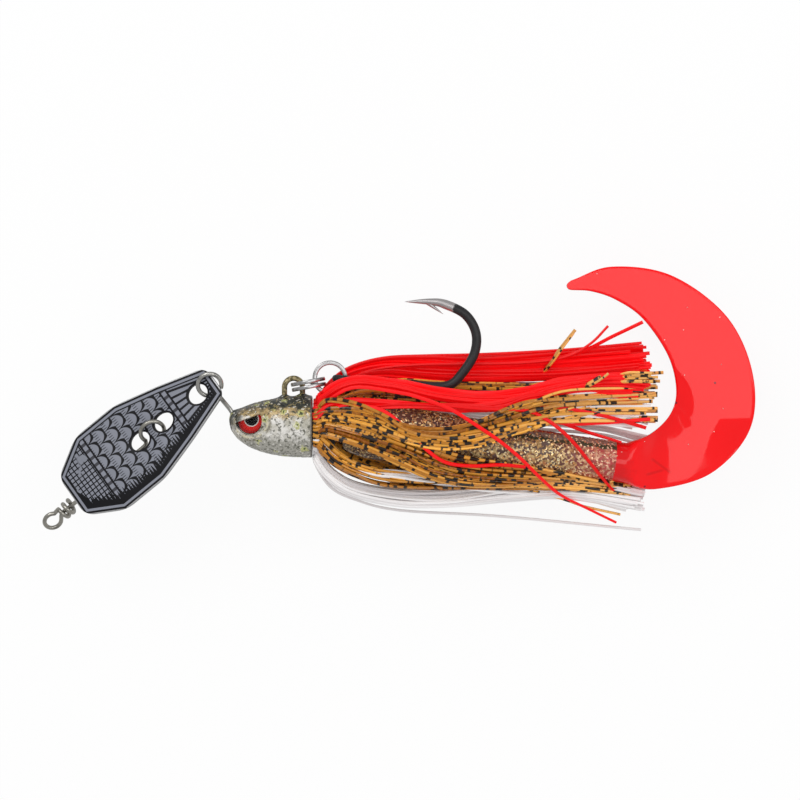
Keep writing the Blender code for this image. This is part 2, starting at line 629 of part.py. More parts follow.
def keeper(head):
    """Corkscrew of wire, its stem set in the end of the neck and its turns in the trailer's bore."""
    first = TRAILER_AXIS.orthogonal().normalized()
    second = TRAILER_AXIS.cross(first)
    path = [NECK_END - TRAILER_AXIS * KEEPER_STEM, NECK_END, NECK_END + TRAILER_AXIS * KEEPER_STEM]
    for i in range(KEEPER_TURNS * CURL_POINTS + 1):
        angle = 2 * math.pi * i / CURL_POINTS
        radius = KEEPER_RADIUS * smooth_step((i + 2) / CURL_POINTS)
        path.append(NECK_END + TRAILER_AXIS * (2 * KEEPER_STEM + KEEPER_PITCH * i / CURL_POINTS)
                    + radius * (math.cos(angle) * first + math.sin(angle) * second))
    print("keeper screw, least gap to itself: %.2f mm" % least_gap(path, KEEPER_WIRE, 2.5 * KEEPER_PITCH))
    mesh = sweep(path, round_section(KEEPER_WIRE, FINE_WIRE_SIDES))
    make("keeper_screw", mesh, finish((0.6, 0.6, 0.6), 0.3, 1.0), NECK_END, head)
    stem = [NECK_END - TRAILER_AXIS * (KEEPER_STEM + SEAT_GAP), NECK_END + TRAILER_AXIS * KEEPER_STEM]
    hole = sweep(stem, round_section(KEEPER_WIRE + 2 * SEAT_GAP, WIRE_SIDES))
    boolean(head, make("keeper_hole", hole, None, NECK_END), "DIFFERENCE")


def trailer_body(head):
    """Soft tapered body with a bore in its nose for the keeper."""
    bore = KEEPER_RADIUS + KEEPER_WIRE / 2 + SEAT_GAP
    depth = 2 * KEEPER_STEM + KEEPER_TURNS * KEEPER_PITCH + KEEPER_WIRE
    front = TRAILER_FRONT_DIAMETER / 2
    rear = TRAILER_REAR_DIAMETER / 2
    profile = [(depth, 0), (depth, bore), (0, bore), (0, 0.62 * front)]
    for along, share in ((1.5, 0.8), (4.0, 0.94), (8.0, 1.0)):
        profile.append((along, share * front))
    for share in (0.35, 0.55, 0.8, 0.97):
        profile.append((TRAILER_LENGTH * share, front + (rear - front) * smooth_step(share)))
    profile += [(TRAILER_LENGTH, 0.85 * rear), (TRAILER_LENGTH, 0)]
    mesh = revolve(profile, TRAILER_START, TRAILER_AXIS, 20)
    return make("trailer_body", mesh, finish((0.3, 0.16, 0.05), 0.3), TRAILER_START, head)


TAIL_ROOT = TRAILER_START + TRAILER_AXIS * (TRAILER_LENGTH + SEAT_GAP + TAIL_THICKNESS / 2)
TAIL_ACROSS = UP.cross(TRAILER_AXIS).normalized()
TAIL_SETTLED = 2.6  # stations of the tail's edge over which it comes down to the table


def tail(body):
    """Flat crescent whose round root edge rocks on the end of the body; its far part lies on the table."""
    base = Vector((TAIL_ROOT.x, TAIL_ROOT.y, 0))
    steps = 3
    root = TAIL_ACROSS * TAIL_ROOT_WIDTH / 2
    outer = spline([-root, *((x, y, 0) for x, y in TAIL_OUTER)], steps)
    inner = spline([root, *((x, y, 0) for x, y in TAIL_INNER)], steps)
    half = TAIL_THICKNESS / 2
    forward = TAIL_ACROSS.cross(UP) * -half
    stations = [(outer[0] + forward * back, inner[0] + forward * back, thick * half, 0)
                for back, thick in ((1.0, 0.3), (0.72, 0.7), (0.3, 0.95))]
    stations += [(a, b, half, i / steps) for i, (a, b) in enumerate(zip(outer, inner))]
    rings = []
    for a, b, thick, station in stations:
        lift = half + (TAIL_ROOT.z - half) * (1 - smooth_step(station / TAIL_SETTLED))
        edge = (b - a).normalized() * min(TAIL_EDGE, 0.3 * (b - a).length)
        shaped = [(a, 0), (a + edge, thick), (b - edge, thick)]
        shaped += [(b, 0), (b - edge, -thick), (a + edge, -thick)]
        rings.append([base + point + UP * (lift + up) for point, up in shaped])
    make("trailer_tail", loft(rings), finish((0.7, 0.01, 0.01), 0.15), TAIL_ROOT, body)


casting = head_casting()
head_wire(casting)
eye_parts(casting, "left", 1)
eye_parts(casting, "right", -1)
line_tie(blade(casting))
front_ring = split_ring("split_ring_front", FRONT_RING, -UP, UP.cross(FRONT_RING_WAY), HOOK_EYE, casting)
rear_ring = split_ring("split_ring_rear", REAR_RING, turned(-70), UP, RING_LINK, front_ring)
hook(rear_ring)
skirt(casting)
keeper(casting)
tail(trailer_body(casting))
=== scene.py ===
import math
import random

import bmesh
import bpy
from mathutils import Matrix, Vector, noise


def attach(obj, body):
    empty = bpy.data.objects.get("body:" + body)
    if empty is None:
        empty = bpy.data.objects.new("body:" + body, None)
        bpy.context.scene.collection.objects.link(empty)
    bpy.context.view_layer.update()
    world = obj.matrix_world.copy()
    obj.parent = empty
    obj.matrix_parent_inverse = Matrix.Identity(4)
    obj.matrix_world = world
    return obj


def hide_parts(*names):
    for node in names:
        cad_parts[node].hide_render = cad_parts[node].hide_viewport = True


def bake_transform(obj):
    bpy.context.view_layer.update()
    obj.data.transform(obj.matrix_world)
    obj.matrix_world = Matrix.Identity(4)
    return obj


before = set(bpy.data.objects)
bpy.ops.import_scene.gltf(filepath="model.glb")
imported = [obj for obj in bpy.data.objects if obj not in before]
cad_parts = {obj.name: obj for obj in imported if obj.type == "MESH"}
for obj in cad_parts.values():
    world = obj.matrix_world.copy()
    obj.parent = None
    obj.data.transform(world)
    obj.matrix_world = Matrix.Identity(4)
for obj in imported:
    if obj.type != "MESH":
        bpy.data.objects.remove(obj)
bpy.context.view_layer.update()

# Head casting: soft metal poured round the wire, with a brow over each eye and a ridge behind the cheek.
# It is painted with silver, gold and green flake, dark along the back, and lacquered clear.
# Sizes here and below are in millimetres; a finished mesh is brought to metres.
MM = 0.001
SIDE = Vector((1, 0, 0))
BACK = Vector((0, 1, 0))
UP = Vector((0, 0, 1))
NOSE = Vector((-33.75, -4.42, 8.6))
HEAD_LENGTH = 16.4
HEAD_RISE = 5.0
HEAD_DROP = 7.3
HEAD_WIDTH = 11.2
HEAD_RIM = 0.25  # rounding of the back edge
RIM_STEPS = ((0.5, 0.99), (0.9, 0.965), (1.0, 0.93))  # shares of the rounding and of the width
HEAD_BACK = NOSE + Vector((HEAD_LENGTH, (HEAD_RISE - HEAD_DROP) / 2, 0))
NECK_RADIUS = 2.9
NECK_LENGTH = 6.0
NECK_END = HEAD_BACK + SIDE * NECK_LENGTH
HOOK_EYE = NOSE + Vector((12.84, 6.73, 0))
HOOK_EYE_RADIUS = 1.8
EYE = NOSE + SIDE * 4.4
EYE_RADIUS = 2.5
EYE_TURN = math.radians(18)  # towards the nose
SOCKET_FLOOR = 2.2  # from the head's middle plane
SOCKET_DEPTH = 6.0
SOCKET_GAP = 0.3
BROW_SLOPE = math.radians(18.5)
BROW_HEIGHT = 0.5  # over the middle of the eye
BROW_DEPTH = 2.9  # from its edge up to where it has faded into the crown
BROW_REACH = 3.9  # to each side of the eye
BROW_LIFT = 0.95
RIDGE_RADIUS = 3.35
RIDGE_WIDTH = 0.4
RIDGE_ENDS = (-130, 30)  # degrees round the eye
RIDGE_LIFT = 0.45
GRAIN_LIFT = 0.07
PAINT_HUMPS = [NOSE + Vector((0.4, 2.1, 0)), HOOK_EYE + Vector((-HOOK_EYE_RADIUS, -1.9, 0)),
               HOOK_EYE + Vector((HOOK_EYE_RADIUS, -1.9, 0))]
HUMP_LIFT = 0.7
HUMP_RADIUS = 1.1
FLAKE_SIZE = 0.36
GREEN_SPACING = 2.6  # between the green spots of the paint


def smooth_step(value):
    value = min(max(value, 0.0), 1.0)
    return value * value * (3 - 2 * value)


def once_round(count):
    """Angles in equal steps once round."""
    return [2 * math.pi * i / count for i in range(count)]


class Socket:
    """An output of a node. Arithmetic on it adds Math nodes."""

    def __init__(self, graph, output):
        self.graph = graph
        self.output = output

    def calc(self, operation, *others):
        return self.graph.node("ShaderNodeMath", {"operation": operation}, dict(enumerate((self, *others))))

    def __add__(self, other):
        return self.calc("ADD", other)

    def __sub__(self, other):
        return self.calc("SUBTRACT", other)

    def __rsub__(self, other):
        return self.graph.node("ShaderNodeMath", {"operation": "SUBTRACT"}, {0: other, 1: self})

    def __mul__(self, other):
        return self.calc("MULTIPLY", other)

    def __truediv__(self, other):
        return self.calc("DIVIDE", other)

    def __pow__(self, other):
        return self.calc("POWER", other)

    def __lt__(self, other):
        return self.calc("LESS_THAN", other)

    def __gt__(self, other):
        return self.calc("GREATER_THAN", other)

    def __abs__(self):
        return self.calc("ABSOLUTE")

    __radd__ = __add__
    __rmul__ = __mul__

    def rise(self, low, high):
        """0 below the low value, 1 above the high one and smooth between them."""
        return self.graph.node("ShaderNodeMapRange", {"interpolation_type": "SMOOTHSTEP"},
                               {"Value": self, "From Min": low, "From Max": high})


class Graph:
    """A tree of nodes, of a material or of a shape."""

    def __init__(self, tree):
        self.tree = tree

    def node(self, kind, settings=None, sockets=None, output=0):
        node = self.tree.nodes.new(kind)
        for name, value in (settings or {}).items():
            setattr(node, name, value)
        self.feed(node, sockets or {})
        return Socket(self, node.outputs[output])

    def feed(self, node, sockets):
        for name, value in sockets.items():
            socket = node.inputs[name]
            if isinstance(value, Socket):
                self.tree.links.new(value.output, socket)
            elif socket.type == "RGBA":
                socket.default_value = (*value, 1.0)
            else:
                socket.default_value = value

    def vector(self, operation, *values):
        return self.node("ShaderNodeVectorMath", {"operation": operation}, dict(enumerate(values)))

    def ray(self, kind):
        """Whether a ray of light is of some kind."""
        return self.node("ShaderNodeLightPath", output="Is %s Ray" % kind)

    def scaled(self, vector, factor):
        return self.node("ShaderNodeVectorMath", {"operation": "SCALE"}, {0: vector, "Scale": factor})


class Finish(Graph):
    """A material round one Principled shader."""

    def __init__(self, name):
        self.material = bpy.data.materials.new(name)
        self.material.use_nodes = True
        super().__init__(self.material.node_tree)
        self.shader = self.tree.nodes["Principled BSDF"]

    def surface(self, sockets):
        self.feed(self.shader, sockets)
        return self.material

    def place(self):
        """Object coordinates in millimetres."""
        return self.scaled(self.node("ShaderNodeTexCoord", output="Object"), 1 / MM)

    def part(self, vector, axis):
        return self.node("ShaderNodeSeparateXYZ", sockets={0: vector}, output=axis)

    def carried(self, name):
        """Number that each point of the mesh carries."""
        return self.node("ShaderNodeAttribute", {"attribute_name": name}, output="Fac")

    def mix(self, share, low, high):
        """Colour between two colours."""
        return self.node("ShaderNodeMix", {"data_type": "RGBA"}, {0: share, 6: low, 7: high}, 2)

    def coats(self, colour, layers):
        """Colour under layers of a share and a colour each, the last one on top."""
        for share, coat in layers:
            colour = self.mix(share, colour, coat)
        return colour

    def grain(self, place, size, detail=2.0):
        """Soft noise from 0 to 1 with spots of about one size."""
        return self.node("ShaderNodeTexNoise", {}, {"Vector": place, "Scale": 1 / size, "Detail": detail})

    def flake(self, place, size, output="Color"):
        """Cells of about one size, as a random colour each or the distance from their middle."""
        return self.node("ShaderNodeTexVoronoi", {}, {"Vector": place, "Scale": 1 / size}, output)

    def draw(self, colour, channel="Red"):
        """One random number from a cell's random colour."""
        return self.node("ShaderNodeSeparateColor", sockets={0: colour}, output=channel)

    def bump(self, height, depth, strength=1.0):
        """Normal over a height of up to a depth in millimetres."""
        return self.node("ShaderNodeBump", {},
                         {"Strength": strength, "Distance": depth * MM, "Height": height})

    def tilt(self, colour, amount):
        """Normal turned at random in each cell, as on glitter."""
        straight = self.node("ShaderNodeNewGeometry", output="Normal")
        aside = self.scaled(self.vector("SUBTRACT", colour, (0.5, 0.5, 0.5)), amount)
        return self.vector("NORMALIZE", self.vector("ADD", straight, aside))


def brow_place(along, up):
    """Distance along and above the edge of the brow, from the middle of the eye."""
    return (along * math.cos(BROW_SLOPE) + up * math.sin(BROW_SLOPE),
            up * math.cos(BROW_SLOPE) - along * math.sin(BROW_SLOPE) - BROW_HEIGHT)


def head_point(share, turn):
    """Point of the bare casting at a share of its length and a turn from the lure's back."""
    rest = 1 - share
    crown = HEAD_RISE * math.sqrt(1 - rest ** 2)
    chin = HEAD_DROP * math.sqrt(1 - rest ** 2.5)
    cheek = HEAD_WIDTH / 2 * math.sqrt(1 - rest ** 2.5)
    height = math.cos(turn) * (crown if math.cos(turn) > 0 else chin)
    return NOSE + Vector((share * HEAD_LENGTH, height, cheek * math.sin(turn)))


def head_relief(point):
    """Height of the moulded relief: brows, cheek ridges, humps round the wire and the cast grain."""
    along, up = point.x - EYE.x, point.y - EYE.y
    cheek = smooth_step((abs(point.z - NOSE.z) - 1.0) / 1.5)
    brow_along, brow_up = brow_place(along, up)
    brow = smooth_step((brow_up + 0.3) / 0.35) * smooth_step((BROW_DEPTH - brow_up) / 2.7)
    brow *= smooth_step((BROW_REACH - abs(brow_along)) / 1.7)
    angle = math.degrees(math.atan2(up, along))
    ridge = math.exp(-((math.hypot(along, up) - RIDGE_RADIUS) / RIDGE_WIDTH) ** 2)
    ridge *= smooth_step((angle - RIDGE_ENDS[0]) / 30) * smooth_step((RIDGE_ENDS[1] - angle) / 30)
    lift = cheek * (BROW_LIFT * brow + RIDGE_LIFT * ridge)
    for hump in PAINT_HUMPS:
        lift += HUMP_LIFT * math.exp(-((point - hump).length / HUMP_RADIUS) ** 2)
    return lift + GRAIN_LIFT * (noise.noise(point * 1.3) + 0.5 * noise.noise(point * 3.7))


def skin(rings):
    """Closed mesh over rings of equally many points, from one end point to another."""
    size = len(rings[1])
    points = [point for ring in rings for point in ring]
    last = len(points) - 1 - size
    faces = []
    for i in range(size):
        j = (i + 1) % size
        faces.append((0, 1 + j, 1 + i))
        faces.append((last + i, last + j, len(points) - 1))
        for low in range(1, last, size):
            faces.append((low + i, low + j, low + size + j, low + size + i))
    mesh = bpy.data.meshes.new("skin")
    mesh.from_pydata(points, [], faces)
    return mesh


def placed(data, name="trial"):
    """Object of the scene with a mesh, a lamp or a camera."""
    obj = bpy.data.objects.new(name, data)
    bpy.context.scene.collection.objects.link(obj)
    return obj


def settled(obj):
    """Plain mesh of an object with its modifiers done; the object goes."""
    graph = bpy.context.evaluated_depsgraph_get()
    done = obj.evaluated_get(graph)
    mesh = bpy.data.meshes.new_from_object(done, preserve_all_data_layers=True, depsgraph=graph)
    bpy.data.objects.remove(obj)
    return mesh


def fit(name, mesh, slot, nodes, body=None, finish=None, sharp=40, closed=True):
    """Turns a mesh in millimetres into a piece of the lure that stands for CAD nodes.

    A closed shell has its seams merged and its faces turned outwards first.
    """
    if finish:
        mesh.materials.clear()
        mesh.materials.append(finish)
    shape = bmesh.new()
    shape.from_mesh(mesh)
    if closed:
        bmesh.ops.remove_doubles(shape, verts=shape.verts, dist=1e-4)
        bmesh.ops.recalc_face_normals(shape, faces=shape.faces)
    bmesh.ops.scale(shape, vec=(MM, MM, MM), verts=shape.verts)
    shape.to_mesh(mesh)
    shape.free()
    mesh.shade_smooth()
    mesh.set_sharp_from_angle(angle=math.radians(sharp))
    obj = placed(mesh, name)
    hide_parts(*nodes)
    if body:
        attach(obj, body)
    return obj


def head_mesh():
    turns = once_round(180)
    rings = [[NOSE]]
    stations = 110
    step = 0.002
    for k in range(2, stations + 1):
        share = 1 - math.cos(math.pi / 2 * k / stations)
        ring = []
        for turn in turns:
            point = head_point(share, turn)
            ahead = head_point(min(share + step, 1), turn) - head_point(max(share - step, 0), turn)
            beside = head_point(share, turn + step) - head_point(share, turn - step)
            out = beside.cross(ahead).normalized()
            out *= 1 if out.dot(point - NOSE - SIDE * share * HEAD_LENGTH) > 0 else -1
            ring.append(point + out * head_relief(point))
        rings.append(ring)
    rim = rings[-1]
    for back, share in RIM_STEPS:
        rings.append([HEAD_BACK + (point - HEAD_BACK) * share + SIDE * HEAD_RIM * back for point in rim])
    for place in (HEAD_BACK + SIDE * HEAD_RIM, NECK_END):
        rings.append([place + NECK_RADIUS * (BACK * math.cos(turn) + UP * math.sin(turn)) for turn in turns])
    return skin(rings + [[NECK_END]])


def eye_socket(facing):
    """Cutter for one eye: round, with its upper part left standing as the brow."""
    axis = Vector((-math.sin(EYE_TURN), 0, facing * math.cos(EYE_TURN)))
    level = Vector((math.cos(EYE_TURN), 0, facing * math.sin(EYE_TURN)))
    floor = EYE + UP * facing * (SOCKET_FLOOR + SOCKET_GAP)
    rings = [[floor]]
    for depth in (0, SOCKET_DEPTH):
        ring = []
        for turn in once_round(96):
            along = (EYE_RADIUS + SOCKET_GAP) * math.cos(turn)
            up = (EYE_RADIUS + SOCKET_GAP) * math.sin(turn)
            over = max(0, brow_place(along, up)[1])
            along += over * math.sin(BROW_SLOPE)
            up -= over * math.cos(BROW_SLOPE)
            ring.append(floor + level * along + BACK * up + axis * depth)
        rings.append(ring)
    mesh = skin(rings + [[floor + axis * SOCKET_DEPTH]])
    cutter = bmesh.new()
    cutter.from_mesh(mesh)
    bmesh.ops.recalc_face_normals(cutter, faces=cutter.faces)
    cutter.to_mesh(mesh)
    cutter.free()
    return mesh


def head_paint():
    paint = Finish("head_paint")
    place = paint.place()
    warp = paint.grain(place, 1.3, 3.0) * 3.2 - 1.6
    height = paint.part(place, "Y") - NOSE.y + warp
    along = paint.part(place, "X") - NOSE.x + warp * 0.6
    lot = paint.draw(paint.flake(place, FLAKE_SIZE))
    pearl = paint.mix(paint.grain(place, 3.0).rise(0.38, 0.6), (0.44, 0.42, 0.35), (0.74, 0.72, 0.68))
    gold = paint.mix(lot, (0.20, 0.115, 0.03), (0.62, 0.44, 0.16))
    dark = paint.mix(lot > 0.8, (0.022, 0.024, 0.018), (0.30, 0.24, 0.11))
    chin = height.rise(-2.6, -4.6)
    nose = along.rise(3.4, 1.4) * height.rise(-2.4, -0.8)
    patch = paint.grain(place, 0.75, 3.0).rise(0.59, 0.65)
    crowd = paint.grain(place, 4.0).rise(0.4, 0.58).calc("MAXIMUM", height.rise(-2.4, -3.6) * 0.8)
    blur = paint.node("ShaderNodeTexNoise", {}, {"Vector": place, "Scale": 1.4, "Detail": 2.0}, "Color")
    loose = paint.vector("MULTIPLY_ADD", blur, (1.6, 1.6, 1.6), place)
    spot = paint.flake(loose, GREEN_SPACING, "Distance")
    chosen = paint.draw(paint.flake(loose, GREEN_SPACING), "Blue") > 0.5
    beside = paint.part(place, "X") - EYE.x
    below = paint.part(place, "Y") - EYE.y
    ring = (beside ** 2 + below ** 2) ** 0.5 - RIDGE_RADIUS
    under = below.rise(0.9, 0.2) * paint.grain(place, 1.1).rise(0.3, 0.6) * 0.6
    rim = paint.part(place, "X").rise(HEAD_BACK.x - 0.3, HEAD_BACK.x)
    layers = (
        (chin, (0.34, 0.33, 0.29)),
        (height.rise(0.2, 1.3) * 0.9, gold),
        (height.rise(1.7, 2.9), dark),
        (nose, (0.02, 0.022, 0.014)),
        (patch * crowd * 0.9, (0.07, 0.07, 0.04)),
        (spot.rise(0.36, 0.2) * chosen * 0.8, (0.52, 0.52, 0.17)),
        (spot.rise(0.2, 0.1) * chosen, (0.045, 0.075, 0.015)),
        ((lot > 0.92) * 0.7, (0.88, 0.85, 0.78)),
        ((lot < 0.1) * 0.7, (0.06, 0.06, 0.04)),
        # Painted highlight and painted shade: a pale line along the crest of the cheek ridge and a dark line
        # along its outer foot, below the eye.
        (abs(ring).rise(0.35, 0.1) * under, (0.72, 0.64, 0.42)),
        (abs(ring - 0.55).rise(0.25, 0.08) * under, (0.20, 0.17, 0.10)),
        (rim * 0.85, (0.10, 0.085, 0.075)),
    )
    colour = paint.coats(pearl, layers)
    pits = paint.grain(place, 0.5, 3.0)
    return paint.surface({
        "Base Color": colour,
        "Metallic": (lot > 0.7) * 0.5,
        "Roughness": lot * 0.25 + 0.2,
        "Coat Weight": 0.4,
        "Coat Roughness": 0.12,
        "Normal": paint.bump(pits + lot * 0.3, 0.16, 0.8),
    })


def lacquered_head():
    blank = placed(head_mesh())
    cutters = [placed(eye_socket(facing)) for facing in (1, -1)]
    for cutter in cutters:
        cut = blank.modifiers.new("socket", "BOOLEAN")
        cut.operation = "DIFFERENCE"
        cut.object = cutter
    mesh = settled(blank)
    for cutter in cutters:
        bpy.data.objects.remove(cutter)
    fit("lacquered_head", mesh, "head_paint", ["head_casting"], "head", head_paint())


lacquered_head()

# Eyes: a printed foil disc in each socket, red round a black pupil, under a clear cast dome.
# Both are glued in, and the brow covers their upper part.
FOIL_THICKNESS = 0.4
FOIL_EDGE = 0.06
DOME_HEIGHT = 1.3
DOME_STEPS = 13
PUPIL_RADIUS = 1.3
PUPIL_RING = 0.2
PUPIL_PLACE = (0.1, 0.35)  # from the middle of the eye, along and up


def turning(profile, start, axis, first, around=64):
    """Mesh turned about an axis from pairs of a distance along it and a radius."""
    second = axis.cross(first)
    turns = once_round(around)
    rings = [[start + axis * profile[0][0]]]
    for along, radius in profile[1:-1]:
        centre = start + axis * along
        rings.append([centre + radius * (math.cos(t) * first + math.sin(t) * second) for t in turns])
    return skin(rings + [[start + axis * profile[-1][0]]])


def eye_print():
    paint = Finish("eye_foil")
    place = paint.place()
    along = paint.part(place, "X") - EYE.x - PUPIL_PLACE[0]
    up = paint.part(place, "Y") - EYE.y - PUPIL_PLACE[1]
    radius = (along * along + up * up) ** 0.5
    iris = paint.mix(paint.grain(place, 0.5), (0.75, 0.006, 0.008), (0.95, 0.03, 0.02))
    colour = paint.coats(iris, (
        (radius.rise(1.9, 2.6), (0.45, 0.005, 0.006)),
        (radius < PUPIL_RADIUS + PUPIL_RING, (0.85, 0.80, 0.76)),
        (radius < PUPIL_RADIUS, (0.004, 0.004, 0.004)),
    ))
    return paint.surface({"Base Color": colour, "Roughness": paint.grain(place, 0.3) * 0.2 + 0.2,
                          "Specular IOR Level": 0.2})


def eye_clear():
    clear = Finish("eye_dome")
    haze = clear.grain(clear.place(), 1.0)
    return clear.surface({"Base Color": (0.02, 0.02, 0.02), "Alpha": haze * 0.04 + 0.08, "Roughness": 0.03,
                          "Specular IOR Level": 1.0})


foil_finish = eye_print()
dome_finish = eye_clear()
for side, facing in (("left", 1), ("right", -1)):
    look = Vector((-math.sin(EYE_TURN), 0, facing * math.cos(EYE_TURN)))
    seat = EYE + UP * facing * SOCKET_FLOOR + look * SOCKET_GAP
    flat = EYE_RADIUS - FOIL_EDGE
    disc = [(0, 0), (0, flat), (FOIL_EDGE, EYE_RADIUS), (FOIL_THICKNESS - FOIL_EDGE, EYE_RADIUS),
            (FOIL_THICKNESS, flat), (FOIL_THICKNESS, 0)]
    foil = turning(disc, seat, look, BACK)
    fit("eye_print_" + side, foil, "eye_foil", ["eye_foil_" + side], "head", foil_finish)
    cap = [(0, 0)]
    for i in range(DOME_STEPS):
        rise = math.pi / 2 * i / DOME_STEPS
        cap.append((DOME_HEIGHT * math.sin(rise), EYE_RADIUS * math.cos(rise)))
    dome = turning(cap + [(DOME_HEIGHT, 0)], seat + look * (FOIL_THICKNESS + SOCKET_GAP), look, BACK)
    fit("eye_lens_" + side, dome, "eye_dome", ["eye_dome_" + side], "head", dome_finish)

# Head wire: one spring wire, bent to the nose loop and the eye for the hook and cast into the head.
# The loop stays bright, and the eye is dipped in the head's paint.
NOSE_WIRE = 0.9
HOOK_EYE_WIRE = 1.1
FULL_ROUND = 0.4999  # corner radius that makes a round section, as a share of its width
NOSE_LOOP_RADIUS = 2.35
NOSE_LOOP_ENDS = (-58, 238)
NOSE_LEG_LENGTH = 6.45
NOSE_LEG_RISE = 2.5
NOSE_LEG_TURN = math.radians(-93)
LOOP_TILT = 35.0
BLADE_TURN = (Matrix.Rotation(math.radians(39), 3, "Z") @ Matrix.Rotation(math.radians(-10.5), 3, "Y")
              @ Matrix.Rotation(math.radians(-16), 3, "X"))
LENGTHWISE, ACROSS, FACE = (BLADE_TURN @ axis for axis in (SIDE, BACK, UP))


def tilted(degrees):
    """Direction across the blade, raised out of its face."""
    return ACROSS * math.cos(math.radians(degrees)) + FACE * math.sin(math.radians(degrees))


LOOP_UP = tilted(LOOP_TILT)
LEG = LENGTHWISE * math.cos(NOSE_LEG_TURN) + LOOP_UP * math.sin(NOSE_LEG_TURN)
LOOP_CENTRE = NOSE + BACK * NOSE_LEG_RISE - LEG * NOSE_LEG_LENGTH


def arc(centre, first, second, radius, ends, count):
    """Points on an arc in the plane of two unit vectors, between two angles in degrees."""
    start, end = ends
    points = []
    for i in range(count):
        angle = math.radians(start + (end - start) * i / (count - 1))
        points.append(centre + radius * (math.cos(angle) * first + math.sin(angle) * second))
    return points


def spline(keys, steps):
    """Smooth curve through the key points, with a number of steps between each pair."""
    keys = [Vector(key) for key in keys]
    ends = [2 * keys[0] - keys[1], *keys, 2 * keys[-1] - keys[-2]]
    points = []
    for a, b, c, d in zip(ends, ends[1:], ends[2:], ends[3:]):
        for i in range(steps):
            t = i / steps
            points.append(0.5 * (2 * b + (c - a) * t + (2 * a - 5 * b + 4 * c - d) * t ** 2
                                 + (3 * b - a - 3 * c + d) * t ** 3))
    return points + [keys[-1]]


class Shape(Graph):
    """A tree that makes a piece out of a plain mesh, with a named input for each size."""

    def __init__(self, name, **inputs):
        super().__init__(bpy.data.node_groups.new(name, "GeometryNodeTree"))
        sockets = self.tree.interface
        for title, kind in {"Source": "Geometry", **inputs, "Finish": "Material"}.items():
            sockets.new_socket(title, in_out="INPUT", socket_type="NodeSocket" + kind)
        sockets.new_socket("Piece", in_out="OUTPUT", socket_type="NodeSocketGeometry")
        given = self.tree.nodes.new("NodeGroupInput")
        self.inputs = {socket.name: Socket(self, socket) for socket in given.outputs}

    def end(self, piece):
        """Closes the tree: plain faces in the piece's finish."""
        piece = self.node("GeometryNodeRealizeInstances", {}, {"Geometry": piece})
        finish = self.inputs["Finish"]
        piece = self.node("GeometryNodeSetMaterial", {}, {"Geometry": piece, "Material": finish})
        self.tree.links.new(piece.output, self.tree.nodes.new("NodeGroupOutput").inputs["Piece"])
        return self

    def make(self, mesh, **sizes):
        """Plain mesh that the tree makes of a mesh."""
        carrier = placed(mesh)
        modifier = carrier.modifiers.new("shape", "NODES")
        modifier.node_group = self.tree
        for item in self.tree.interface.items_tree:
            if item.name in sizes:
                modifier[item.identifier] = sizes[item.name]
        return settled(carrier)


def section_sweep():
    """Tree that carries a round-cornered section along every path of a mesh of edges."""
    graph = Shape("swept_section", Width="Float", Thickness="Float", Corner="Float", Steps="Int")
    inputs = graph.inputs
    scale = graph.node("GeometryNodeInputNamedAttribute", {"data_type": "FLOAT"}, {"Name": "scale"})
    level = graph.node("GeometryNodeInputNamedAttribute", {"data_type": "FLOAT_VECTOR"}, {"Name": "level"})
    path = graph.node("GeometryNodeMeshToCurve", {}, {"Mesh": inputs["Source"]})
    path = graph.node("GeometryNodeSetCurveNormal", {"mode": "FREE"}, {"Curve": path, "Normal": level})
    oblong = graph.node("GeometryNodeCurvePrimitiveQuadrilateral", {"mode": "RECTANGLE"},
                        {"Width": inputs["Width"], "Height": inputs["Thickness"]})
    section = graph.node("GeometryNodeFilletCurve", {"mode": "POLY"},
                         {"Curve": oblong, "Count": inputs["Steps"], "Radius": inputs["Corner"]})
    piece = graph.node("GeometryNodeCurveToMesh", {},
                       {"Curve": path, "Profile Curve": section, "Scale": scale, "Fill Caps": True})
    return graph.end(graph.node("GeometryNodeSetShadeSmooth", {}, {"Geometry": piece}))


SWEEP = section_sweep()


def heading(points, i):
    """Way past one point of a line, from the point before it to the one after."""
    return points[min(i + 1, len(points) - 1)] - points[max(i - 1, 0)]


def squared(direction, tangent):
    """Direction turned square to a tangent."""
    return (direction - tangent * direction.dot(tangent)).normalized()


class Path:
    """Line that a section follows, with the section's level direction and scale at each point."""

    def __init__(self, points, level=None, scales=None, shade=0.5):
        self.points = points
        self.scales = scales or [1.0] * len(points)
        self.shade = shade
        self.along = [0.0]
        self.levels = []
        carried = None
        for i, point in enumerate(points):
            tangent = heading(points, i).normalized()
            carried = squared(level or carried or tangent.orthogonal(), tangent)
            self.levels.append(carried)
            if i:
                self.along.append(self.along[-1] + (point - points[i - 1]).length)


def swept(paths, width, thickness, finish, corner=None, steps=4):
    """Mesh of one section carried along paths; it keeps how far along and which shade each point is."""
    points = []
    edges = []
    for path in paths:
        edges += [(len(points) + i, len(points) + i + 1) for i in range(len(path.points) - 1)]
        points += path.points
    lines = bpy.data.meshes.new("paths")
    lines.from_pydata(points, edges, [])
    values = {"scale": [s for path in paths for s in path.scales],
              "along": [a for path in paths for a in path.along],
              "shade": [path.shade for path in paths for _ in path.points]}
    for name, numbers in values.items():
        lines.attributes.new(name, "FLOAT", "POINT").data.foreach_set("value", numbers)
    flat = [number for path in paths for level in path.levels for number in level]
    lines.attributes.new("level", "FLOAT_VECTOR", "POINT").data.foreach_set("vector", flat)
    corner = corner or FULL_ROUND * min(width, thickness)
    return SWEEP.make(lines, Width=width, Thickness=thickness, Corner=corner, Steps=steps, Finish=finish)


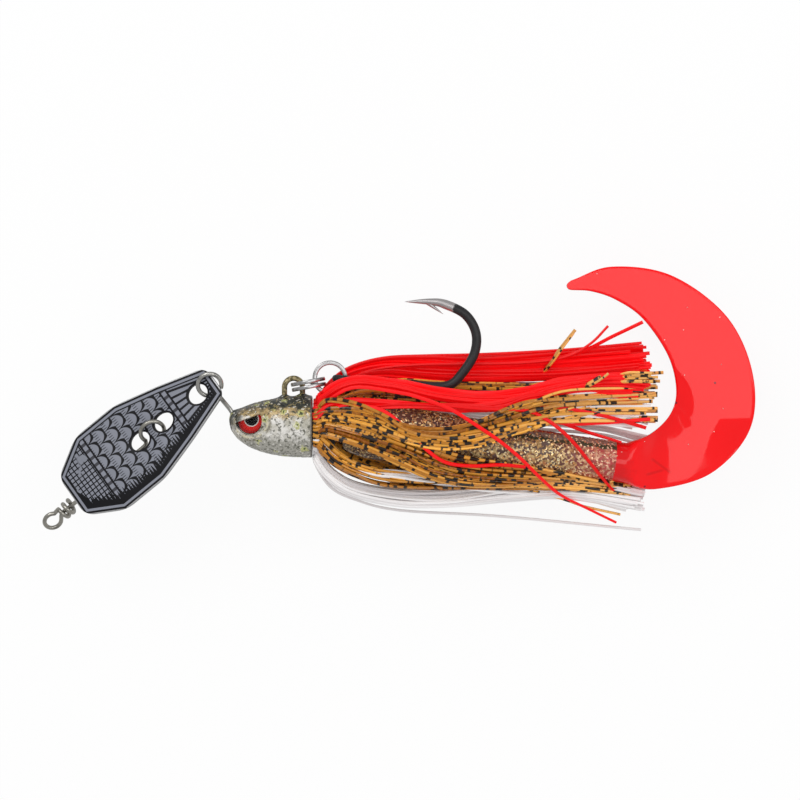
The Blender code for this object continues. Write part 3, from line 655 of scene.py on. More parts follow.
def drawn_wire(name, colour, roughness, dip=None, wear=0.5):
    """Drawn wire with fine scratches and some tarnish; past a place in X it can be dipped in paint."""
    wire = Finish(name)
    place = wire.place()
    tarnish = wire.grain(place, 1.8, 4.0)
    tint = wire.mix(tarnish.rise(0.45, 0.75), colour, tuple(0.45 * c for c in colour))
    metal = 1.0
    gloss = tarnish * 0.2 + roughness
    if dip:
        painted = wire.part(place, "X").rise(dip, dip + 0.5)
        coat = wire.mix(wire.grain(place, 0.6, 3.0).rise(0.4, 0.62), (0.12, 0.10, 0.045), (0.42, 0.35, 0.19))
        tint = wire.mix(painted, tint, coat)
        metal = 1 - painted * 0.55
    return wire.surface({"Base Color": tint, "Metallic": metal, "Roughness": gloss,
                         "Normal": wire.bump(wire.grain(place, 0.25, 3.0), 0.03, wear)})


def head_wire():
    loop = arc(LOOP_CENTRE, LENGTHWISE, LOOP_UP, NOSE_LOOP_RADIUS, NOSE_LOOP_ENDS, 72)
    arch = arc(HOOK_EYE, SIDE, BACK, HOOK_EYE_RADIUS, (180, 0), 36)
    run = [LOOP_CENTRE + LEG * (NOSE_LOOP_RADIUS + 0.7),
           LOOP_CENTRE + LEG * NOSE_LEG_LENGTH,
           NOSE + Vector((1.8, 0.2, 0)),
           NOSE + Vector((5.0, -0.6, 0)),
           Vector((arch[0].x - 2.5, NOSE.y - 0.4, NOSE.z)),
           Vector((arch[0].x, NOSE.y + 2.0, NOSE.z))]
    inside = spline(run, 10)
    thin = NOSE_WIRE / HOOK_EYE_WIRE
    swell = 25  # steps inside the head after which the wire is as thick as the eye's
    scales = [thin] * (len(loop) + swell) + [1.0] * (len(inside) - swell + len(arch) + 1)
    path = Path(loop + inside + arch + [Vector((arch[-1].x, NOSE.y + 1.5, NOSE.z))], scales=scales)
    finish = drawn_wire("steel_wire", (0.66, 0.65, 0.61), 0.2, dip=NOSE.x + 2)
    mesh = swept([path], HOOK_EYE_WIRE, HOOK_EYE_WIRE, finish, steps=5)
    fit("bent_head_wire", mesh, "steel_wire", ["head_wire"], "head", closed=False)


head_wire()

# Blade: a stamped steel plate with rounded corners, hung by its rear hole on the nose loop.
# Its print is a common fish scale with hatching and a dark border, in blue greys and black.
# The cut edge is bare steel.
BLADE_LENGTH = 37.6
BLADE_HALF = 9.2
BLADE_THICKNESS = 0.8
BLADE_REAR = 4.4
BLADE_FRONT = BLADE_REAR - BLADE_LENGTH
BLADE_SIDE = [(BLADE_REAR, 0.36 * BLADE_HALF), (-6.0, 0.72 * BLADE_HALF), (-15.5, BLADE_HALF),
              (BLADE_FRONT + 7.5, BLADE_HALF), (BLADE_FRONT, 0.52 * BLADE_HALF)]
BLADE_CORNER = 2.0
BLADE_BEVEL = 0.14
REAR_HOLE = (4.4, 3.8)
TIE_SLOT = (4.4, 3.4)
TIE_BRIDGE = 1.8
TIE_BRIDGE_BACK = -12.1
LOOP_OFFSET = 3.0
REAR_HOLE_CENTRE = LOOP_CENTRE - LENGTHWISE * LOOP_OFFSET
SLOT_OFFSET = (TIE_BRIDGE + TIE_SLOT[0]) / 2
BLADE_HOLES = [(0.0, REAR_HOLE), (TIE_BRIDGE_BACK + SLOT_OFFSET, TIE_SLOT),
               (TIE_BRIDGE_BACK - SLOT_OFFSET, TIE_SLOT)]  # middle, length and width
SCALE_PITCH = 2.5
SCALE_WIDTH = 3.1
FRONT_PANEL = -25.2
REAR_PANEL = -5.6
SEAM_HALF = 0.85  # dark band between two panels, to each side of its middle
SEAM_LINE = 0.45
HOLE_BORDER = 0.4


def rounded(corners, radius, steps=10):
    """Outline with each corner replaced by a short curve."""
    outline = []
    for i, corner in enumerate(corners):
        corner = Vector(corner)
        before = (Vector(corners[i - 1]) - corner).normalized() * radius
        after = (Vector(corners[(i + 1) % len(corners)]) - corner).normalized() * radius
        for k in range(steps + 1):
            t = k / steps
            outline.append(corner + before * (1 - t) ** 2 + after * t ** 2)
    return outline


def blade_print():
    ink = Finish("blade_paint")
    inside = ink.node("ShaderNodeTexCoord", output="Object")
    place = ink.node("ShaderNodeMapping", {"vector_type": "TEXTURE"},
                     {"Vector": inside, "Location": REAR_HOLE_CENTRE * MM, "Rotation": BLADE_TURN.to_euler(),
                      "Scale": (MM, MM, MM)})
    u = ink.part(place, "X")
    v = ink.part(place, "Y")
    off = abs(v)
    edge = (u - BLADE_REAR).calc("MAXIMUM", BLADE_FRONT - u)
    for (u0, v0), (u1, v1) in zip(BLADE_SIDE, BLADE_SIDE[1:]):
        out = Vector((v0 - v1, u1 - u0)).normalized()
        out *= 1 if out.y > 0 else -1
        edge = edge.calc("MAXIMUM", u * out.x + off * out.y - (u0 * out.x + v0 * out.y))
    row = (u / SCALE_PITCH).calc("FLOOR")
    step = u / SCALE_PITCH - row
    lane = v / SCALE_WIDTH + row * 0.5
    lane = lane - lane.calc("FLOOR") - 0.5
    bow = (1 - lane * lane * 4).calc("SQRT")
    gap = step - bow * 0.92
    line = abs(gap).rise(0.12, 0.06)
    crescent = gap.rise(0.0, 0.05) * gap.rise(0.34, 0.26)
    stroke = ((lane * 6 + 0.3).calc("FRACT") < 0.3) * step.rise(0.45, 0.25) * gap.rise(-0.1, -0.2)
    blotch = ink.grain(place, 3.0, 3.0)
    black = (0.004, 0.004, 0.006)
    grey = (0.22, 0.23, 0.272)
    ground = ink.mix(blotch, (0.185, 0.195, 0.23), (0.24, 0.25, 0.295))
    scaled = (u > FRONT_PANEL) * (u < REAR_PANEL)
    cross = ((u * 1.1).calc("FRACT") < 0.27).calc("MAXIMUM", (v * 1.1).calc("FRACT") < 0.27)
    ray = (v / (u - BLADE_REAR - 4.0)).calc("ARCTANGENT") * 9
    layers = [
        (crescent * scaled, black),
        (stroke * scaled * 0.9, black),
        (line * scaled, black),
        (cross * (u < FRONT_PANEL) * blotch.rise(0.36, 0.44), black),
        ((ray.calc("FRACT") < (u - REAR_PANEL) * 0.03 + 0.3) * (u > REAR_PANEL), black),
    ]
    for seam in (FRONT_PANEL, REAR_PANEL):
        band = abs(u - seam)
        bead = (band < SEAM_LINE) * ((v * 0.62).calc("FRACT") < 0.4)
        layers += [(band < SEAM_HALF, black), (band < SEAM_LINE, grey), (bead, (0.05, 0.05, 0.06))]
    notch = (u * 1.5 + v * 0.3).calc("FRACT")
    hatch = (edge + (notch * 2.0 + blotch * 1.6) * v.rise(1.0, -5.0)) > -1.4
    layers += [(hatch, black), (edge.rise(-1.16, -1.08), grey), (edge.rise(-0.66, -0.58), black)]
    for centre, (length, width) in BLADE_HOLES:
        ring = ((u - centre) / (length / 2 + HOLE_BORDER)) ** 2 + (v / (width / 2 + HOLE_BORDER)) ** 2
        layers.append((ring < 1.0, black))
    bare = edge.rise(-0.22, -0.16)
    colour = ink.coats(ground, layers + [(bare, (0.62, 0.62, 0.63))])
    return ink.surface({"Base Color": colour, "Metallic": bare * 0.9, "Roughness": blotch * 0.12 + 0.34,
                        "Specular IOR Level": 0.3,
                        "Normal": ink.bump(ink.grain(place, 0.5, 2.0), 0.03, 0.4)})


def stamped_blade():
    loops = [rounded(BLADE_SIDE + [(u, -v) for u, v in BLADE_SIDE[::-1]], BLADE_CORNER)]
    for centre, (length, width) in BLADE_HOLES:
        loops.append([(centre + length / 2 * math.cos(t), width / 2 * math.sin(t)) for t in once_round(48)])
    shape = bmesh.new()
    edges = []
    for loop in loops:
        corners = [shape.verts.new((u, v, 0)) for u, v in loop]
        edges += [shape.edges.new((corners[i - 1], corners[i])) for i in range(len(corners))]
    bmesh.ops.triangle_fill(shape, use_beauty=True, edges=edges)
    bmesh.ops.recalc_face_normals(shape, faces=shape.faces)
    mesh = bpy.data.meshes.new("blade")
    shape.to_mesh(mesh)
    shape.free()
    plate = placed(mesh)
    wall = plate.modifiers.new("wall", "SOLIDIFY")
    wall.thickness = BLADE_THICKNESS
    wall.offset = 0
    bevel = plate.modifiers.new("edge", "BEVEL")
    bevel.width = BLADE_BEVEL
    bevel.segments = 3
    bevel.limit_method = "ANGLE"
    mesh = settled(plate)
    mesh.transform(Matrix.Translation(REAR_HOLE_CENTRE) @ BLADE_TURN.to_4x4())
    fit("printed_blade", mesh, "blade_paint", ["blade"], "blade", blade_print(), sharp=30)


stamped_blade()

# Line tie: one spring wire, bent to a loop through both slots of the blade and led forward behind it.
# In front of the blade it closes to the eye for the line, and its end is wrapped round the shaft there.
TIE_WIRE = 0.85
TIE_LOOP_RADIUS = 2.4
TIE_TILT = 50.0
TIE_LOOP_ENDS = (-312, -22)  # from where the shaft enters the loop
TIE_EYE_RADIUS = 1.7
TIE_EYE_ENDS = (-40, -320)
TIE_WRAPS = 2
TIE_WRAP_START = 0.5
COIL_GAP = 0.45
SEAT_GAP = 0.3
TIE_UP = tilted(TIE_TILT)
TIE_CENTRE = REAR_HOLE_CENTRE + LENGTHWISE * TIE_BRIDGE_BACK


def line_tie():
    clear = (BLADE_THICKNESS + TIE_WIRE) / 2 + SEAT_GAP
    drop = clear / math.sin(math.radians(TIE_TILT))
    shaft = TIE_CENTRE - TIE_UP * drop
    entry = 180 + math.degrees(math.asin(drop / TIE_LOOP_RADIUS))
    loop_ends = [entry + end for end in TIE_LOOP_ENDS]
    loop = arc(TIE_CENTRE, LENGTHWISE, TIE_UP, TIE_LOOP_RADIUS, loop_ends, 72)
    front = BLADE_FRONT - TIE_BRIDGE_BACK
    pitch = TIE_WIRE + COIL_GAP
    wrap_end = front - TIE_WRAP_START - TIE_WIRE
    wrap_start = wrap_end - TIE_WRAPS * pitch
    eye = shaft + LENGTHWISE * (wrap_start - TIE_EYE_RADIUS - TIE_WIRE)
    stops = (-TIE_LOOP_RADIUS - TIE_WIRE, 0.35 * front, 0.7 * front, wrap_end, wrap_start)
    ring = arc(eye, LENGTHWISE, TIE_UP, TIE_EYE_RADIUS, TIE_EYE_ENDS, 60)
    across = LENGTHWISE.cross(TIE_UP)
    wraps = []
    around = 32
    for i in range(TIE_WRAPS * around + 1):
        angle = 2 * math.pi * i / around
        spoke = math.cos(angle) * TIE_UP + math.sin(angle) * across
        wraps.append(shaft + LENGTHWISE * (wrap_start + pitch * i / around) + pitch * spoke)
    bends = spline([loop[-1], *(shaft + LENGTHWISE * stop for stop in stops), ring[0]], 8)[1:-1]
    turn = spline([ring[-2], ring[-1], wraps[0], wraps[1]], 6)[7:-7]
    finish = drawn_wire("tie_wire", (0.60, 0.58, 0.52), 0.2)
    mesh = swept([Path(loop + bends + ring + turn + wraps)], TIE_WIRE, TIE_WIRE, finish, steps=5)
    fit("bent_line_tie", mesh, "steel_wire", ["line_tie_wire"], "line_tie", closed=False)


line_tie()

# Split rings: two turns of flat spring wire each, nickel plated, with a jog where one turn passes the other.
# They link the eye on the head's back to the eye of the hook, and let the hook swing.
RING_RADIUS = 3.05
RING_WIRE_WIDTH = 0.9
RING_WIRE_THICKNESS = 0.6
RING_WIRE_CORNER = 0.2
RING_WIRE_PLUMP = 0.16  # added to the wire's thickness, so that the turns lie close together
RING_ENDS = (8, 668)  # degrees
RING_STACK = 2 * RING_WIRE_THICKNESS + COIL_GAP
FRONT_RING_TILT = 11.0
REAR_RING_TURN = 28.0
REAR_RING_REACH = 1.5
JOG_START, JOG_END = 318.0, 360.0


def turned(degrees):
    """Level unit vector at an angle from the lure's length."""
    return Vector((math.cos(math.radians(degrees)), math.sin(math.radians(degrees)), 0))


FRONT_RING_WAY = turned(FRONT_RING_TILT)
FRONT_RING_AXIS = UP.cross(FRONT_RING_WAY)
FRONT_RING = HOOK_EYE + FRONT_RING_WAY * RING_RADIUS
REAR_RING = FRONT_RING + FRONT_RING_WAY * RING_RADIUS + turned(REAR_RING_TURN) * REAR_RING_REACH


def split_ring(name, centre, start, axis, finish, node, body):
    level = RING_WIRE_THICKNESS + COIL_GAP
    second = axis.cross(start)
    points = []
    for angle in range(RING_ENDS[0], RING_ENDS[1] + 1, 4):
        climb = smooth_step((angle - JOG_START) / (JOG_END - JOG_START)) - 0.5
        spoke = start * math.cos(math.radians(angle)) + second * math.sin(math.radians(angle))
        points.append(centre + RING_RADIUS * spoke + axis * level * climb)
    mesh = swept([Path(points, level=axis)], RING_WIRE_THICKNESS + RING_WIRE_PLUMP, RING_WIRE_WIDTH, finish,
                 RING_WIRE_CORNER, 3)
    fit(name, mesh, "bright_wire", [node], body, closed=False)


nickel = drawn_wire("bright_wire", (0.70, 0.69, 0.69), 0.22, wear=0.1)
split_ring("front_split_ring", FRONT_RING, -UP, FRONT_RING_AXIS, nickel, "split_ring_front", "front_ring")
split_ring("rear_split_ring", REAR_RING, turned(-70), UP, nickel, "split_ring_rear", "rear_ring")

# Hook: forged from round wire with a closed eye, hung on the rear split ring so that it swings freely.
# It is blackened all over and then ground bright at its point, where a barb is cut up.
HOOK_WIRE = 1.9
HOOK_EYE_LOOP_WIRE = 1.5
HOOK_EYE_SLACK = 0.21
HOOK_EYE_ENDS = (62, 318)
HOOK_NECK_STEPS = 10  # over which the eye's wire swells to the shank's
HOOK_HEADING = -5.0
SHANK_LENGTH = 20.5
HOOK_GAP = 17.0
BEND_REACH = 5.0  # of the bend past the shank
HOOK_POINT_LENGTH = 15.0
BARB_BACK = 6.1
BARB_LENGTH = 1.8
BARB_SCALES = (0.5, 0.3, 0.04)
TAPER_LENGTH = 8.3
TAPER_POWER = 0.74
POINT_SCALE = 0.03
GROUND_LENGTH = 10.0


def black_nickel(length):
    """Satin black that ends in bright steel near the far end of a wire of some length."""
    black = Finish("black_hook")
    place = black.place()
    wear = black.grain(place, 0.7, 4.0)
    bright = length - GROUND_LENGTH
    ground = (black.carried("along") + wear * 1.6).rise(bright + 0.6, bright + 1.0)
    coat = black.mix(wear, (0.010, 0.010, 0.011), (0.026, 0.026, 0.028))
    return black.surface({"Base Color": black.mix(ground, coat, (0.60, 0.57, 0.57)), "Metallic": ground * 0.9,
                          "Roughness": wear * 0.2 + 0.28, "Specular IOR Level": 0.4,
                          "Normal": black.bump(black.grain(place, 0.35, 3.0), 0.04, 0.5)})


def hook():
    along = turned(HOOK_HEADING)
    rise = UP.cross(along)
    mean = math.hypot(RING_STACK, RING_WIRE_WIDTH) / 2 + HOOK_EYE_SLACK + HOOK_EYE_LOOP_WIRE / 2
    eye = REAR_RING + along * RING_RADIUS
    loop = arc(eye, along, UP, mean, HOOK_EYE_ENDS, 48)
    bend = SHANK_LENGTH
    tip = bend + BEND_REACH - HOOK_POINT_LENGTH
    keys = [(mean + 1.7, 0), (0.35 * bend, 0), (0.7 * bend, 0), (bend, 0.03), (bend + 2.8, 0.2),
            (bend + 4.8, 0.44), (bend + 4.7, 0.68), (bend + 2.3, 0.88), (bend - 1.9, 0.98),
            (0.5 * (bend + tip), 0.995), (tip, 0.97)]  # distance along the shank and share of the gap
    shank = spline([loop[-1]] + [eye + along * x + rise * (y * HOOK_GAP) for x, y in keys], 12)[1:]
    path = Path(loop + shank)
    total = path.along[-1]
    eye_scale = HOOK_EYE_LOOP_WIRE / HOOK_WIRE
    for i, far in enumerate(path.along):
        path.scales[i] = eye_scale + (1 - eye_scale) * smooth_step((i - len(loop)) / HOOK_NECK_STEPS)
        path.scales[i] *= min(1.0, max(POINT_SCALE, ((total - far) / TAPER_LENGTH) ** TAPER_POWER))
    root = eye + along * (tip + BARB_BACK) + rise * (0.99 * HOOK_GAP)
    foot = root - along * 1.6 - rise * 0.1
    end = root + along * BARB_LENGTH - rise * (0.5 * HOOK_WIRE + 1.2)
    barb = Path([foot, (foot + end) / 2, end], scales=BARB_SCALES)
    barb.along = [total - GROUND_LENGTH + 1] * 3
    mesh = swept([path, barb], HOOK_WIRE, HOOK_WIRE, black_nickel(total), steps=6)
    fit("forged_hook", mesh, "black_hook", ["hook"], "hook", closed=False)


hook()

# Trailer body: soft plastic poured in a mould, pushed on the keeper behind the head.
# It is clear brown and full of gold and bronze glitter.
# A dark band runs along its back, and its rear has a red tint.
KEEPER_BORE = (2.3, 11.2)  # radius and depth of the hole in its nose
TRAILER_LENGTH = 55.0
TRAILER_FRONT = 5.8
TRAILER_REAR = 4.1
TRAILER_NOSE = 8.0  # length over which the nose swells to the full width
TRAILER_TIP = 0.62  # width of the nose's tip, as a share of the full width
TRAILER_END_ROUND = (1.2, 0.6)  # length and height of the rounding at the rear end
TRAILER_FALL = math.tan(math.radians(7.3))
TRAILER_SAG = 1.73 / TRAILER_LENGTH
TRAILER_AXIS = Vector((1, -TRAILER_FALL, -TRAILER_SAG)).normalized()
TRAILER_LEAN = math.hypot(TRAILER_FALL, TRAILER_SAG)
TRAILER_START = NECK_END + TRAILER_AXIS * (SEAT_GAP + NECK_RADIUS * TRAILER_LEAN)
TRAILER_END = TRAILER_START + TRAILER_AXIS * TRAILER_LENGTH
GLITTER_SIZE = 0.27
GLITTER_DENSITY = 1.7  # flakes in a square millimetre
GLITTER_TILT = 0.35  # radians


def trailer_radius(along):
    """Radius of the body at a distance from its nose."""
    rest = 1 - min(along, TRAILER_NOSE) / TRAILER_NOSE
    nose = TRAILER_TIP + (1 - TRAILER_TIP) * math.sqrt(1 - rest ** 2)
    return nose * (TRAILER_FRONT + (TRAILER_REAR - TRAILER_FRONT) * smooth_step(along / TRAILER_LENGTH))


def brown_plastisol():
    soft = Finish("brown_plastisol")
    place = soft.place()
    along = soft.part(place, "X") - TRAILER_START.x
    up = soft.part(place, "Y") - TRAILER_START.y + along * TRAILER_FALL
    cloud = soft.grain(place, 1.8, 3.0)
    brown = soft.mix(cloud.rise(0.3, 0.7), (0.048, 0.021, 0.018), (0.15, 0.070, 0.044))
    rear = along.rise(41, 54)
    wavy = up + cloud * 1.8 - 0.9
    back = along.rise(26, 36)
    clear = wavy.rise(3.0, 3.3) * back
    band = wavy.rise(2.3, 2.5) * wavy.rise(3.3, 3.1) * back
    cell = soft.flake(place, 0.42)
    lot = soft.draw(cell)
    share = along.rise(8, 30) * 0.3 + 0.25
    glint = (lot < share) * (1 - clear.calc("MAXIMUM", band))
    tint = soft.draw(cell, "Green")
    gold = soft.mix(tint, (0.34, 0.16, 0.05), (0.80, 0.58, 0.27))
    pink = soft.mix(tint, (0.45, 0.05, 0.04), (0.85, 0.42, 0.33))
    colour = soft.coats(brown, (
        (rear * 0.9, (0.46, 0.05, 0.045)),
        (glint, soft.mix(rear * 0.8, gold, pink)),
        (clear * 0.85, (0.24, 0.20, 0.16)),
        (band, (0.035, 0.05, 0.025)),
        (up.rise(3.95, 4.15) * along.rise(30, 36), (0.42, 0.01, 0.012)),
    ))
    return soft.surface({"Base Color": colour, "Metallic": glint * 0.5, "Roughness": lot * 0.2 + 0.2,
                         "Coat Weight": 0.3, "Coat Roughness": 0.15, "Normal": soft.tilt(cell, 0.6)})


def glitter_strewing():
    """Tree that strews six-sided flakes over a surface, each a little tilted, with a tint of its own."""
    graph = Shape("strewn_glitter", Density="Float", Size="Float", Tilt="Float", Seed="Int")
    inputs = graph.inputs
    spots = graph.node("GeometryNodeDistributePointsOnFaces", {"distribute_method": "RANDOM"},
                       {"Mesh": inputs["Source"], "Density": inputs["Density"], "Seed": inputs["Seed"]})
    facing = Socket(graph, spots.output.node.outputs["Rotation"])
    lean = graph.node("ShaderNodeCombineXYZ", {}, {0: inputs["Tilt"], 1: inputs["Tilt"], 2: math.pi})
    back = graph.scaled(lean, -1.0)
    aside = graph.node("FunctionNodeRandomValue", {"data_type": "FLOAT_VECTOR"},
                       {0: back, 1: lean, "Seed": inputs["Seed"]})
    turn = graph.node("FunctionNodeRotateRotation", {"rotation_space": "LOCAL"}, {0: facing, 1: aside})
    flake = graph.node("GeometryNodeMeshCircle", {"fill_type": "TRIANGLE_FAN"},
                       {"Vertices": 6, "Radius": inputs["Size"]})
    size = graph.node("FunctionNodeRandomValue", {"data_type": "FLOAT"}, {2: 0.6, 3: 1.3, "Seed": 5})
    flakes = graph.node("GeometryNodeInstanceOnPoints", {},
                        {"Points": spots, "Instance": flake, "Rotation": turn, "Scale": size})
    tint = graph.node("FunctionNodeRandomValue", {"data_type": "FLOAT"}, {2: 0.0, 3: 1.0, "Seed": 9}, 1)
    flakes = graph.node("GeometryNodeStoreNamedAttribute", {"data_type": "FLOAT", "domain": "INSTANCE"},
                        {"Geometry": flakes, "Name": "tint", "Value": tint})
    return graph.end(flakes)


GLITTER = glitter_strewing()


def gold_glitter():
    gold = Finish("gold_glitter")
    place = gold.place()
    tint = gold.carried("tint")
    red = gold.part(place, "X").rise(30, 42)
    warm = gold.mix(tint, (0.80, 0.38, 0.07), (1.0, 0.93, 0.60))
    pink = gold.mix(tint, (0.55, 0.04, 0.04), (0.98, 0.62, 0.46))
    return gold.surface({"Base Color": gold.mix(red * 0.7, warm, pink), "Metallic": 0.35,
                         "Roughness": tint * 0.2 + 0.2})


def trailer_body():
    radius, depth = KEEPER_BORE
    length, height = TRAILER_END_ROUND
    full = TRAILER_LENGTH - length
    profile = [(depth, 0), (depth, radius), (0, radius), (0, trailer_radius(0))]
    steps = 60
    for i in range(1, steps):
        along = full * (i / steps) ** 1.3
        profile.append((along, trailer_radius(along)))
    for turn in (20, 45, 70):
        angle = math.radians(turn)
        profile.append((full + length * math.sin(angle), TRAILER_REAR - height + height * math.cos(angle)))
    profile += [(TRAILER_LENGTH, TRAILER_REAR - 1.5 * height), (TRAILER_LENGTH, 0)]
    first = TRAILER_AXIS.orthogonal().normalized()
    mesh = turning(profile, TRAILER_START, TRAILER_AXIS, first, 72)
    flakes = GLITTER.make(mesh.copy(), Density=GLITTER_DENSITY, Size=GLITTER_SIZE, Tilt=GLITTER_TILT, Seed=3,
                          Finish=gold_glitter())
    fit("poured_trailer_body", mesh, "brown_plastisol", ["trailer_body"], "head", brown_plastisol())
    fit("trailer_glitter", flakes, "brown_plastisol", [], "head", closed=False)


trailer_body()

# Tail: poured in one with the body, in clear red with a few silver flakes, flat and thin so that it curls.
# Its root is as round as the body's end and flattens out.
TAIL_THICKNESS = 2.2
TAIL_ROOT_WIDTH = 8.1
TAIL_ROOT_DEPTH = 8.0
TAIL_ROOT = TRAILER_END + TRAILER_AXIS * (SEAT_GAP + TAIL_THICKNESS / 2)
TAIL_ACROSS = UP.cross(TRAILER_AXIS).normalized()
TAIL_SETTLED = 2.6  # stations of the edge over which the tail comes down to lie flat
TAIL_FLATTENED = 1.5
TAIL_SQUARENESS = 12.0  # added to the power of the round root's section, 2
ROOT_OVERLAP = (3.2, 2.4, 1.2)  # sections of the root that lie inside the body's end
TAIL_TIP = ((0.75, 0.45), (0.4, 0.75))  # share of the last section and distance past it
TAIL_OUTER = ((6.3, -5.3), (17.6, -2.2), (25.4, 6.4), (26.1, 17.7), (20.9, 29.3), (9.8, 37.6),
              (-2.2, 39.4), (-10.5, 36.6))
TAIL_INNER = ((5.5, 5.9), (9.5, 9.8), (10.7, 14.7), (9.0, 21.6), (4.0, 28.9), (-1.4, 32.7),
              (-6.3, 34.4), (-10.5, 34.7))
CURL_HOLLOW = (50.6, -1.2)  # middle of a round hollow along the inner edge of the curl
CURL_HOLLOW_RADIUS = 8.9
BEND_HOLLOW = (64.5, -4.2)  # corner of a hollow towards the outer edge of the bend
BEND_WAY = (0.9, -0.44)  # in which that hollow falls
CURL_SLOPE = 0.19
CURL_RUN = 4.0  # length of the slope
BEND_SLOPE = 0.26
BEND_RUN = 6.4
TAIL_BEND = (-1.0, 8.0)  # stretch from the root along the body's axis
FLECK_SIZE = 0.15
FLECK_DENSITY = 0.012
FLECK_TILT = 0.25
CREASES = (((50.5, -11.8), (54.9, -15.0)), ((49.4, -15.3), (53.5, -14.2)))  # ends of small dents in the root


def tail_relief(x, y):
    """Sag of the upper face in the two hollows."""
    curl = CURL_HOLLOW_RADIUS - math.hypot(x - CURL_HOLLOW[0], y - CURL_HOLLOW[1])
    beyond = BEND_WAY[0] * (x - BEND_HOLLOW[0]) + BEND_WAY[1] * (y - BEND_HOLLOW[1])
    bend = min(beyond, BEND_HOLLOW[1] - y)
    return -CURL_SLOPE * min(max(curl, 0.0), CURL_RUN) - BEND_SLOPE * min(max(bend, 0.0), BEND_RUN)


def tail_mesh():
    base = Vector((TAIL_ROOT.x, TAIL_ROOT.y, 0))
    steps = 20
    root = TAIL_ACROSS * TAIL_ROOT_WIDTH / 2
    outer = spline([-root, *((x, y, 0) for x, y in TAIL_OUTER)], steps)
    inner = spline([root, *((x, y, 0) for x, y in TAIL_INNER)], steps)
    half = TAIL_THICKNESS / 2
    around = 112
    stations = []
    for back in ROOT_OVERLAP:
        shift = -back * Vector((TRAILER_AXIS.x, TRAILER_AXIS.y, 0))
        stations.append((outer[0] + shift, inner[0] + shift, 0))
    stations += [(a, b, i / steps) for i, (a, b) in enumerate(zip(outer, inner))]
    rings = []
    for a, b, station in stations:
        settle = smooth_step(station / TAIL_SETTLED)
        middle = (a + b) / 2 + base + UP * (half + (TAIL_ROOT.z - half) * (1 - settle))
        reach = (b - a) / 2
        thick = half + (TAIL_ROOT_DEPTH / 2 - half) * (1 - smooth_step(station / TAIL_FLATTENED))
        square = 2.0 + TAIL_SQUARENESS * smooth_step(station / TAIL_FLATTENED)
        ring = []
        for angle in once_round(around):
            x, y = math.cos(angle), math.sin(angle)
            size = (abs(x) ** square + abs(y) ** square) ** (-1 / square)
            point = middle + reach * x * size + UP * thick * y * size
            if y > 0:
                point.z += tail_relief(point.x, point.y) * settle * min(1.0, y * size)
            ring.append(point)
        rings.append(ring)
    last = rings[-1]
    centre = sum(last, Vector()) / around
    for share, ahead in TAIL_TIP:
        drawn_in = [centre + (point - centre) * share - SIDE * ahead - BACK * 0.1 for point in last]
        rings.append([Vector((near.x, near.y, point.z)) for near, point in zip(drawn_in, last)])
    start = sum(rings[0], Vector()) / around
    end = sum(rings[-1], Vector()) / around - SIDE * 0.15
    return skin([[start], *rings, [end]])


def red_plastisol():
    soft = Finish("red_plastisol")
    place = soft.place()
    cloud = soft.grain(place, 6.0, 2.0)
    colour = soft.mix(cloud, (0.87, 0.001, 0.003), (0.94, 0.003, 0.006))
    root = soft.part(place, "X") + soft.grain(place, 1.5, 3.0) * 3.0
    low = soft.part(place, "Y") < 0
    colour = soft.mix(root.rise(49.5, 46.0) * low * 0.6, colour, (0.50, 0.006, 0.008))
    cell = soft.flake(place, 1.3)
    speck = (soft.draw(cell) > 0.985) * soft.flake(place, 1.3, "Distance").rise(0.22, 0.16)
    colour = soft.mix(speck, colour, (0.22, 0.01, 0.02))
    relief = soft.grain(place, 7.0, 1.0)
    for start, end in CREASES:
        way = Vector(end) - Vector(start)
        length = way.length
        way.normalize()
        x = soft.part(place, "X") - start[0]
        y = soft.part(place, "Y") - start[1]
        far = x * way.x + y * way.y
        crease_dent_and_shade = abs(y * way.x - x * way.y).rise(0.45, 0.05)
        crease_dent_and_shade = crease_dent_and_shade * far.rise(0.0, 0.8) * far.rise(length, length - 0.8)
        # Painted shade: each crease is also painted a darker red along its dent, besides being dented by the
        # bump.
        colour = soft.mix(crease_dent_and_shade * 0.4, colour, (0.45, 0.001, 0.002))
        relief = relief - crease_dent_and_shade * 0.6
    return soft.surface({"Base Color": colour, "Roughness": cloud * 0.05 + 0.07,
                         "Normal": soft.bump(relief, 0.12, 0.5)})


def silver_glitter():
    silver = Finish("silver_glitter")
    tint = silver.carried("tint")
    colour = silver.mix(tint, (0.75, 0.45, 0.42), (0.95, 0.85, 0.82))
    return silver.surface({"Base Color": colour, "Metallic": 0.8, "Roughness": tint * 0.2 + 0.25})


def tail():
    mesh = tail_mesh()
    flakes = GLITTER.make(mesh.copy(), Density=FLECK_DENSITY, Size=FLECK_SIZE, Tilt=FLECK_TILT, Seed=4,
                          Finish=silver_glitter())
    start, end = ((TAIL_ROOT + TRAILER_AXIS * far) * MM for far in TAIL_BEND)
    for obj in (fit("poured_tail", mesh, "red_plastisol", ["trailer_tail"], finish=red_plastisol()),
                fit("tail_glitter", flakes, "red_plastisol", [], closed=False)):
        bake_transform(obj)


tail()

